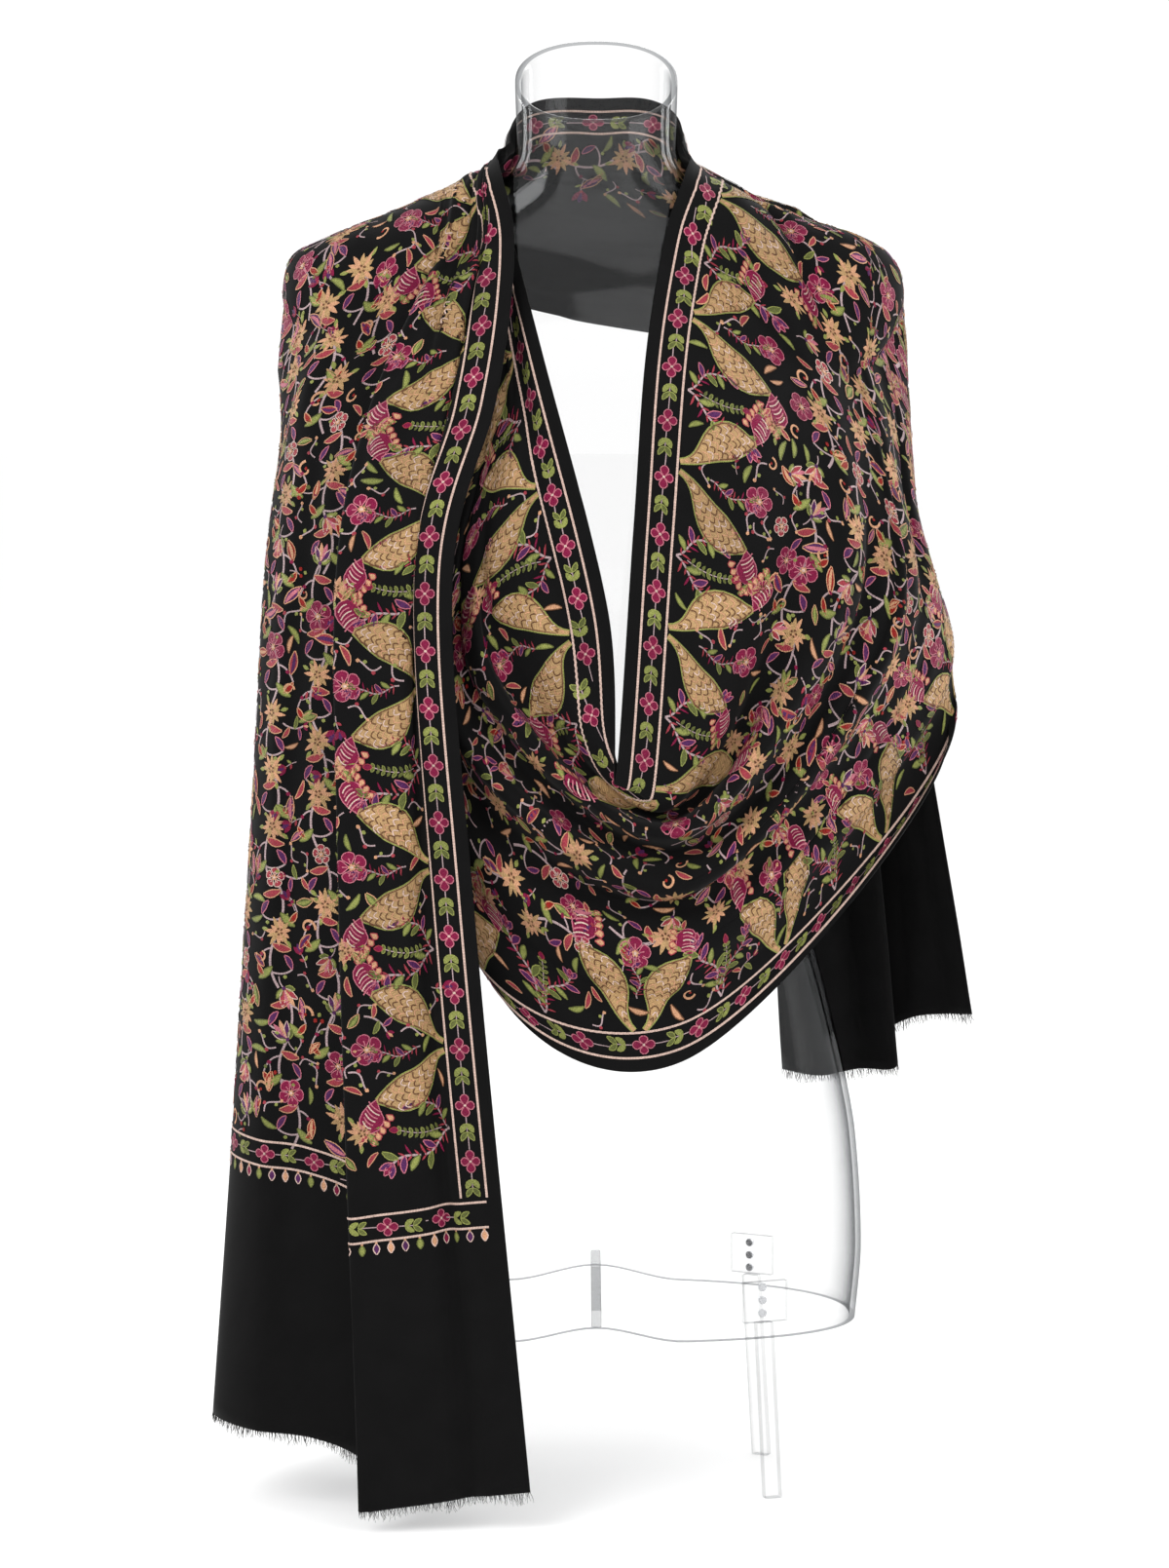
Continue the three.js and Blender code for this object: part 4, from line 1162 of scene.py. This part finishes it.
class Finish:
    """One material: every node comes from node(), and maths from expressions on its outputs."""

    def __init__(self, name):
        self.material = bpy.data.materials.new(name)
        self.material.use_nodes = True
        self.tree = self.material.node_tree
        self.tree.nodes.clear()

    def node(self, kind, settings=None, sockets=None, output=0):
        made = self.tree.nodes.new(kind)
        for key, value in (settings or {}).items():
            setattr(made, key, value)
        for key, value in (sockets or {}).items():
            if isinstance(value, Value):
                self.tree.links.new(value.socket, made.inputs[key])
            else:
                made.inputs[key].default_value = value
        return Value(self, made.outputs[output]) if len(made.outputs) else made

    def sum(self, operation, *parts):
        return self.node("ShaderNodeMath", {"operation": operation}, dict(enumerate(parts)))

    def axes(self, source):
        split = self.tree.nodes.new("ShaderNodeSeparateXYZ")
        self.tree.links.new(source.socket, split.inputs[0])
        return [Value(self, out) for out in split.outputs]

    def mixed(self, share, low, high):
        return self.node("ShaderNodeMix", {"data_type": "RGBA"}, {0: share, 6: low, 7: high}, 2)

    def shaded(self, share, low, high):
        return self.node("ShaderNodeMixShader", None, {0: share, 1: low, 2: high})

    def surface(self, shader):
        self.node("ShaderNodeOutputMaterial", None, {"Surface": shader})
        return self.material


def wool_finish(name, colour, sheen, weave_height):
    """Fine black wool: a light haze of fibres over a twill weave, with slow wear in its tone."""
    f = Finish(name)
    place = f.node("ShaderNodeTexCoord", None, None, "UV")
    across, along, _ = f.axes(place)
    twill = f.sum("SINE", (across + along) * (2 * math.pi / (1.5 * MM)))
    weft = f.sum("SINE", along * (2 * math.pi / (1.0 * MM)))
    haze = f.node("ShaderNodeTexNoise", None, {"Vector": place, "Scale": 38.0, "Detail": 3.0})
    fibre = f.node("ShaderNodeTexNoise", None, {"Vector": place, "Scale": 900.0, "Detail": 2.0})
    tone = haze * 0.5 + fibre * 0.35 + twill * weft * 0.04
    dark = [c * 0.55 for c in colour[:3]] + [1.0]
    light = [c * 1.7 for c in colour[:3]] + [1.0]
    bump = f.node("ShaderNodeBump", None, {"Height": fibre, "Distance": weave_height, "Strength": 0.12})
    shader = f.node("ShaderNodeBsdfPrincipled", None, {
        "Base Color": f.mixed(tone, dark, light), "Roughness": 0.86, "Sheen Weight": sheen,
        "Sheen Roughness": 0.4, "Specular IOR Level": 0.06, "Normal": bump})
    return f.surface(shader)


def thread_finish(name, strength):
    """Silk embroidery thread: its own colour, mottled at random, with short stitches raised across each line and
    painted shade darkening the dips between the stitches.
    """
    f = Finish(name)
    colour = f.node("ShaderNodeAttribute", {"attribute_name": "thread"}, None, "Color")
    place = f.node("ShaderNodeTexCoord", None, None, "UV")
    along, across, _ = f.axes(place)
    stitch = f.sum("SINE", (along + f.sum("ABSOLUTE", across) * 0.8) * (2 * math.pi / (1.9 * MM)))
    strand = f.sum("SINE", across * (2 * math.pi / (0.8 * MM)))
    mottle = f.node("ShaderNodeTexNoise", None, {"Vector": f.node("ShaderNodeTexCoord", None, None, "Object"),
                                                "Scale": 420.0, "Detail": 2.0})
    # shade mixes random mottle with painted shade: the thread colour is darker where the stitch ridges dip
    shade = stitch * 0.11 + mottle * 0.9 + 0.02
    deep = f.node("ShaderNodeVectorMath", {"operation": "SCALE"}, {0: colour, "Scale": 0.42})
    bump = f.node("ShaderNodeBump", None, {"Height": stitch + strand * 0.4, "Distance": 0.35 * MM, "Strength": strength})
    shader = f.node("ShaderNodeBsdfPrincipled", None, {
        "Base Color": f.mixed(shade, deep, colour), "Roughness": 0.5, "Specular IOR Level": 0.16,
        "Normal": bump})
    return f.surface(shader)


def acrylic_finish(name, clearness):
    """Clear acrylic: see-through face on, greyer and glossier towards its edges."""
    f = Finish(name)
    facing = f.node("ShaderNodeLayerWeight", None, {"Blend": 0.5}, "Facing")
    clear = f.node("ShaderNodeBsdfTransparent", None, {"Color": (clearness, clearness, clearness, 1)})
    edge = f.node("ShaderNodeBsdfTransparent", None, {"Color": (0.16, 0.17, 0.18, 1)})
    gloss = f.node("ShaderNodeBsdfGlossy", None, {"Color": (0.92, 0.93, 0.94, 1), "Roughness": 0.05})
    body = f.shaded(facing ** 3.0, clear, edge)
    return f.surface(f.shaded(facing ** 6.0 * 0.25 + 0.016, body, gloss))


def rim_finish(name):
    """The polished rim of the acrylic, grey where light is led away inside the wall."""
    f = Finish(name)
    facing = f.node("ShaderNodeLayerWeight", None, {"Blend": 0.5}, "Facing")
    clear = f.node("ShaderNodeBsdfTransparent", None, {"Color": (0.50, 0.51, 0.52, 1)})
    gloss = f.node("ShaderNodeBsdfGlossy", None, {"Color": (0.9, 0.9, 0.9, 1), "Roughness": 0.05})
    return f.surface(f.shaded(facing ** 4.0 * 0.3 + 0.06, clear, gloss))


def steel_finish(name):
    f = Finish(name)
    place = f.node("ShaderNodeTexCoord", None, None, "Object")
    grain = f.node("ShaderNodeTexNoise", None, {"Vector": place, "Scale": 700.0, "Detail": 2.0})
    shader = f.node("ShaderNodeBsdfPrincipled", None, {
        "Base Color": (0.62, 0.63, 0.65, 1), "Metallic": 1.0, "Roughness": grain * 0.15 + 0.2})
    return f.surface(shader)


def floor_finish(colour):
    f = Finish("pale_floor")
    return f.surface(f.node("ShaderNodeBsdfPrincipled", None, {"Base Color": tuple(colour) + (1,), "Roughness": 0.9}))


# ============================ add-on ============================


class ShawlSizes(bpy.types.PropertyGroup):
    """Sizes of the shawl and its embroidery"""

    cloth_thickness: bpy.props.FloatProperty(
        name="Cloth thickness", description="Thickness of the woven wool", default=0.0009, min=0.0003,
        max=0.003, precision=4, subtype="DISTANCE", unit="LENGTH")
    fringe_reach: bpy.props.FloatProperty(
        name="Fringe reach", description="How far the loose ends hang below each hem", default=0.0095,
        min=0.002, max=0.03, precision=4, subtype="DISTANCE", unit="LENGTH")
    plain_end: bpy.props.FloatProperty(
        name="Plain end", description="Plain cloth between the end border and the hem", default=0.182,
        min=0.05, max=0.4, subtype="DISTANCE", unit="LENGTH")
    stitch_relief: bpy.props.FloatProperty(
        name="Stitch relief", description="Strength of the raised stitches", default=0.7, min=0.0, max=1.0,
        subtype="FACTOR")
    weave_height: bpy.props.FloatProperty(
        name="Weave height", description="Height of the cloth's fibres", default=0.00016, min=0.0, max=0.001,
        precision=5, subtype="DISTANCE", unit="LENGTH")


class ShawlColours(bpy.types.PropertyGroup):
    """Colours of the cloth, the form and the floor"""

    wool: bpy.props.FloatVectorProperty(
        name="Wool", description="Colour of the ground cloth", default=(0.0042, 0.0041, 0.0042), size=3,
        min=0.0, max=1.0, subtype="COLOR")
    sheen: bpy.props.FloatProperty(
        name="Wool sheen", description="Pale haze of fibres at grazing angles", default=0.05, min=0.0,
        max=1.0, subtype="FACTOR")
    acrylic: bpy.props.FloatProperty(
        name="Acrylic clearness", description="Light let through each face of the form", default=0.985,
        min=0.5, max=1.0, subtype="FACTOR")
    floor: bpy.props.FloatVectorProperty(
        name="Floor", description="Colour of the studio floor", default=(0.945, 0.945, 0.945), size=3, min=0.0,
        max=1.0, subtype="COLOR")


def sizes():
    return bpy.context.scene.shawl_sizes


def colours():
    return bpy.context.scene.shawl_colours


def finish_for(name):
    """The named material, made when it is first asked for."""
    found = bpy.data.materials.get(name)
    if found:
        return found
    s, c = sizes(), colours()
    if name == "black_wool":
        return wool_finish(name, c.wool, c.sheen, s.weave_height)
    if name == "loose_wool":
        return wool_finish(name, c.wool, 0.0, 0.0)
    if name == "silk_thread":
        return thread_finish(name, s.stitch_relief)
    if name == "clear_acrylic_shell":
        return acrylic_finish(name, c.acrylic)
    if name == "acrylic_rim":
        return rim_finish(name)
    if name == "turned_steel":
        return steel_finish(name)
    raise ValueError(f"no finish is named {name}")


def lay_cloth(name, node):
    piece = kept(cloth_piece(CLOTHS[name], finish_for("black_wool"), sizes().cloth_thickness), "shawl_cloth", node)
    return piece


class SHAWL_OT_fall(bpy.types.Operator):
    """Adds the long end that hangs in front, with its borders, field and end border"""

    bl_idname = "shawl.fall"
    bl_label = "Front fall"

    def execute(self, context):
        cloth = CLOTHS["fall"]
        lay_cloth("fall", "fall")
        work = Embroidery(cloth)
        last, outer_last = end_border(work, sizes().plain_end)
        side_border(work, 0, last - 2)
        almond_border(work, 0, last - 6)
        field(work, 2, min(last, outer_last), ALMOND_ZONE + STRIP_EDGE + STRIP_WIDTH, 12 * MM, 3)
        fill_gaps(work, 1, min(last, outer_last) - 2, 9 * MM, 13)
        kept(work.object("fall_embroidery", finish_for("silk_thread")), "shawl_cloth")
        return {"FINISHED"}


class SHAWL_OT_wrap(bpy.types.Operator):
    """Adds the stretch round the back of the neck and over both shoulders"""

    bl_idname = "shawl.wrap"
    bl_label = "Wrap"

    def execute(self, context):
        cloth = CLOTHS["wrap"]
        lay_cloth("wrap", "wrap")
        work = Embroidery(cloth)
        side_border(work, 0, cloth.rows)
        almond_border(work, 0, cloth.rows)
        field(work, 0, cloth.rows, ALMOND_ZONE + STRIP_EDGE + STRIP_WIDTH, 12 * MM, 5)
        fill_gaps(work, 0, cloth.rows, 9 * MM, 15)
        kept(work.object("wrap_embroidery", finish_for("silk_thread")), "shawl_cloth")
        inside = Embroidery(cloth, -1)
        side_border(inside, 24, cloth.rows - 24)
        field(inside, 26, cloth.rows - 26, STRIP_EDGE + STRIP_WIDTH, 95 * MM, 17)
        fill_gaps(inside, 26, cloth.rows - 26, 100 * MM, 17)
        kept(inside.object("wrap_embroidery_inside", finish_for("silk_thread")), "shawl_cloth")
        return {"FINISHED"}


class SHAWL_OT_cowl(bpy.types.Operator):
    """Adds the deep cowl across the chest, with a border along both of its edges"""

    bl_idname = "shawl.cowl"
    bl_label = "Cowl"

    def execute(self, context):
        cloth = CLOTHS["cowl"]
        lay_cloth("cowl", "cowl")
        work = Embroidery(cloth)
        last = cloth.rows - 24
        side_border(work, 0, last)
        almond_border(work, 0, last)
        side_border(work, 6, last - 40, True)
        almond_border(work, 6, last - 40, True)
        field(work, 0, last, ALMOND_ZONE + STRIP_EDGE + STRIP_WIDTH, ALMOND_ZONE, 7)
        fill_gaps(work, 0, last, STRIP_EDGE + STRIP_WIDTH + 6 * MM, 19)
        kept(work.object("cowl_embroidery", finish_for("silk_thread")), "shawl_cloth")
        return {"FINISHED"}


class SHAWL_OT_back_fall(bpy.types.Operator):
    """Adds the plain end that hangs behind"""

    bl_idname = "shawl.back_fall"
    bl_label = "Back fall"

    def execute(self, context):
        lay_cloth("back_fall", "back_fall")
        return {"FINISHED"}


class SHAWL_OT_fringes(bpy.types.Operator):
    """Adds the short frayed fringe below both hems"""

    bl_idname = "shawl.fringes"
    bl_label = "Fringes"

    def execute(self, context):
        reach = sizes().fringe_reach
        for name, cloth, seed in (("fall_fringe", "fall", 2), ("back_fringe", "back_fall", 4)):
            piece = fringe_piece(name + "_threads", CLOTHS[cloth], finish_for("loose_wool"), reach, seed)
            kept(piece, "shawl_fringe", name)
        return {"FINISHED"}


class SHAWL_OT_form(bpy.types.Operator):
    """Adds the clear hollow form"""

    bl_idname = "shawl.form"
    bl_label = "Dress form"

    def execute(self, context):
        clear = finish_for("clear_acrylic_shell")
        kept(form_piece(clear, finish_for("acrylic_rim"), 144), "clear_acrylic", "form_shell")
        kept(bevelled_copy("form_centre_web", "form_web", clear, 0.8 * MM, 2), "clear_acrylic", "form_web")
        return {"FINISHED"}


class SHAWL_OT_stand(bpy.types.Operator):
    """Adds the four clear legs, the blocks that hold them and their screws"""

    bl_idname = "shawl.stand"
    bl_label = "Stand"

    def execute(self, context):
        clear, steel = finish_for("clear_acrylic_shell"), finish_for("turned_steel")
        for node in sorted(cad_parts):
            if node.startswith(("leg_", "block_")):
                kept(bevelled_copy(node + "_eased", node, clear, 0.8 * MM, 2), "clear_acrylic", node)
            elif node.startswith("screw_"):
                kept(bevelled_copy(node + "_eased", node, steel, 0.4 * MM, 2), "steel", node)
        return {"FINISHED"}


class SHAWL_OT_stage(bpy.types.Operator):
    """Adds the pale floor, the soft lights and the camera"""

    bl_idname = "shawl.stage"
    bl_label = "Stage"

    def execute(self, context):
        scene = context.scene
        bm = bmesh.new()
        bmesh.ops.create_grid(bm, x_segments=2, y_segments=2, size=30.0)
        mesh = bpy.data.meshes.new("studio_floor")
        bm.to_mesh(mesh)
        bm.free()
        finish_mesh("studio_floor", mesh, floor_finish(colours().floor))
        world = bpy.data.worlds.new("soft_white")
        world.use_nodes = True
        world.node_tree.nodes["Background"].inputs["Color"].default_value = (1, 1, 1, 1)
        world.node_tree.nodes["Background"].inputs["Strength"].default_value = 1.06
        scene.world = world
        for name, power, size, place in (("key_light", 46, 1.6, (-1.7, -2.2, 2.5)),
                                         ("fill_light", 26, 2.0, (2.3, -1.8, 1.7)),
                                         ("back_light", 20, 1.6, (0.6, 2.3, 2.4))):
            light = bpy.data.lights.new(name, "AREA")
            light.energy, light.size = power, size
            lamp = bpy.data.objects.new(name, light)
            scene.collection.objects.link(lamp)
            lamp.location = place
            lamp.rotation_euler = (Vector((0, 0, 0.55)) - Vector(place)).to_track_quat("-Z", "Y").to_euler()
        for name, place in (("strip_light_left", (-1.75, 1.0, 1.4)), ("strip_light_right", (1.75, 1.0, 1.4))):
            light = bpy.data.lights.new(name, "AREA")
            light.shape, light.size, light.size_y, light.energy = "RECTANGLE", 0.45, 1.2, 24
            lamp = bpy.data.objects.new(name, light)
            lamp.visible_diffuse = False
            scene.collection.objects.link(lamp)
            lamp.location = place
            lamp.rotation_euler = (Vector((0, 0, 0.85)) - Vector(lamp.location)).to_track_quat("-Z", "Y").to_euler()
        camera = bpy.data.objects.new("camera", bpy.data.cameras.new("camera"))
        scene.collection.objects.link(camera)
        camera.location = (-0.0104, -2.9853, 0.786)
        camera.rotation_euler = (math.radians(90 - 5.67), 0, 0)
        camera.data.lens = 100.6
        scene.camera = camera
        scene.view_settings.view_transform = "Standard"
        return {"FINISHED"}


OPERATORS = (SHAWL_OT_fall, SHAWL_OT_wrap, SHAWL_OT_cowl, SHAWL_OT_back_fall, SHAWL_OT_fringes, SHAWL_OT_form,
             SHAWL_OT_stand, SHAWL_OT_stage)


class SHAWL_PT_panel(bpy.types.Panel):
    """Lists the sizes, the colours and every piece"""

    bl_idname = "SHAWL_PT_panel"
    bl_label = "Shawl"
    bl_space_type = "VIEW_3D"
    bl_region_type = "UI"
    bl_category = "Shawl"

    def draw(self, context):
        for group in (context.scene.shawl_sizes, context.scene.shawl_colours):
            box = self.layout.box()
            for name in group.__annotations__:
                box.prop(group, name)
        for operator in OPERATORS:
            self.layout.operator(operator.bl_idname)


CLASSES = (ShawlSizes, ShawlColours, *OPERATORS, SHAWL_PT_panel)


def register():
    for item in CLASSES:
        bpy.utils.register_class(item)
    bpy.types.Scene.shawl_sizes = bpy.props.PointerProperty(type=ShawlSizes)
    bpy.types.Scene.shawl_colours = bpy.props.PointerProperty(type=ShawlColours)


def unregister():
    del bpy.types.Scene.shawl_colours
    del bpy.types.Scene.shawl_sizes
    for item in reversed(CLASSES):
        bpy.utils.unregister_class(item)


def main():
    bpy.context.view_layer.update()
    register()
    for operator in (bpy.ops.shawl.fall, bpy.ops.shawl.wrap, bpy.ops.shawl.cowl, bpy.ops.shawl.back_fall,
                     bpy.ops.shawl.fringes, bpy.ops.shawl.form, bpy.ops.shawl.stand, bpy.ops.shawl.stage):
        operator()
    bpy.context.view_layer.update()


if __name__ == "__main__":
    main()
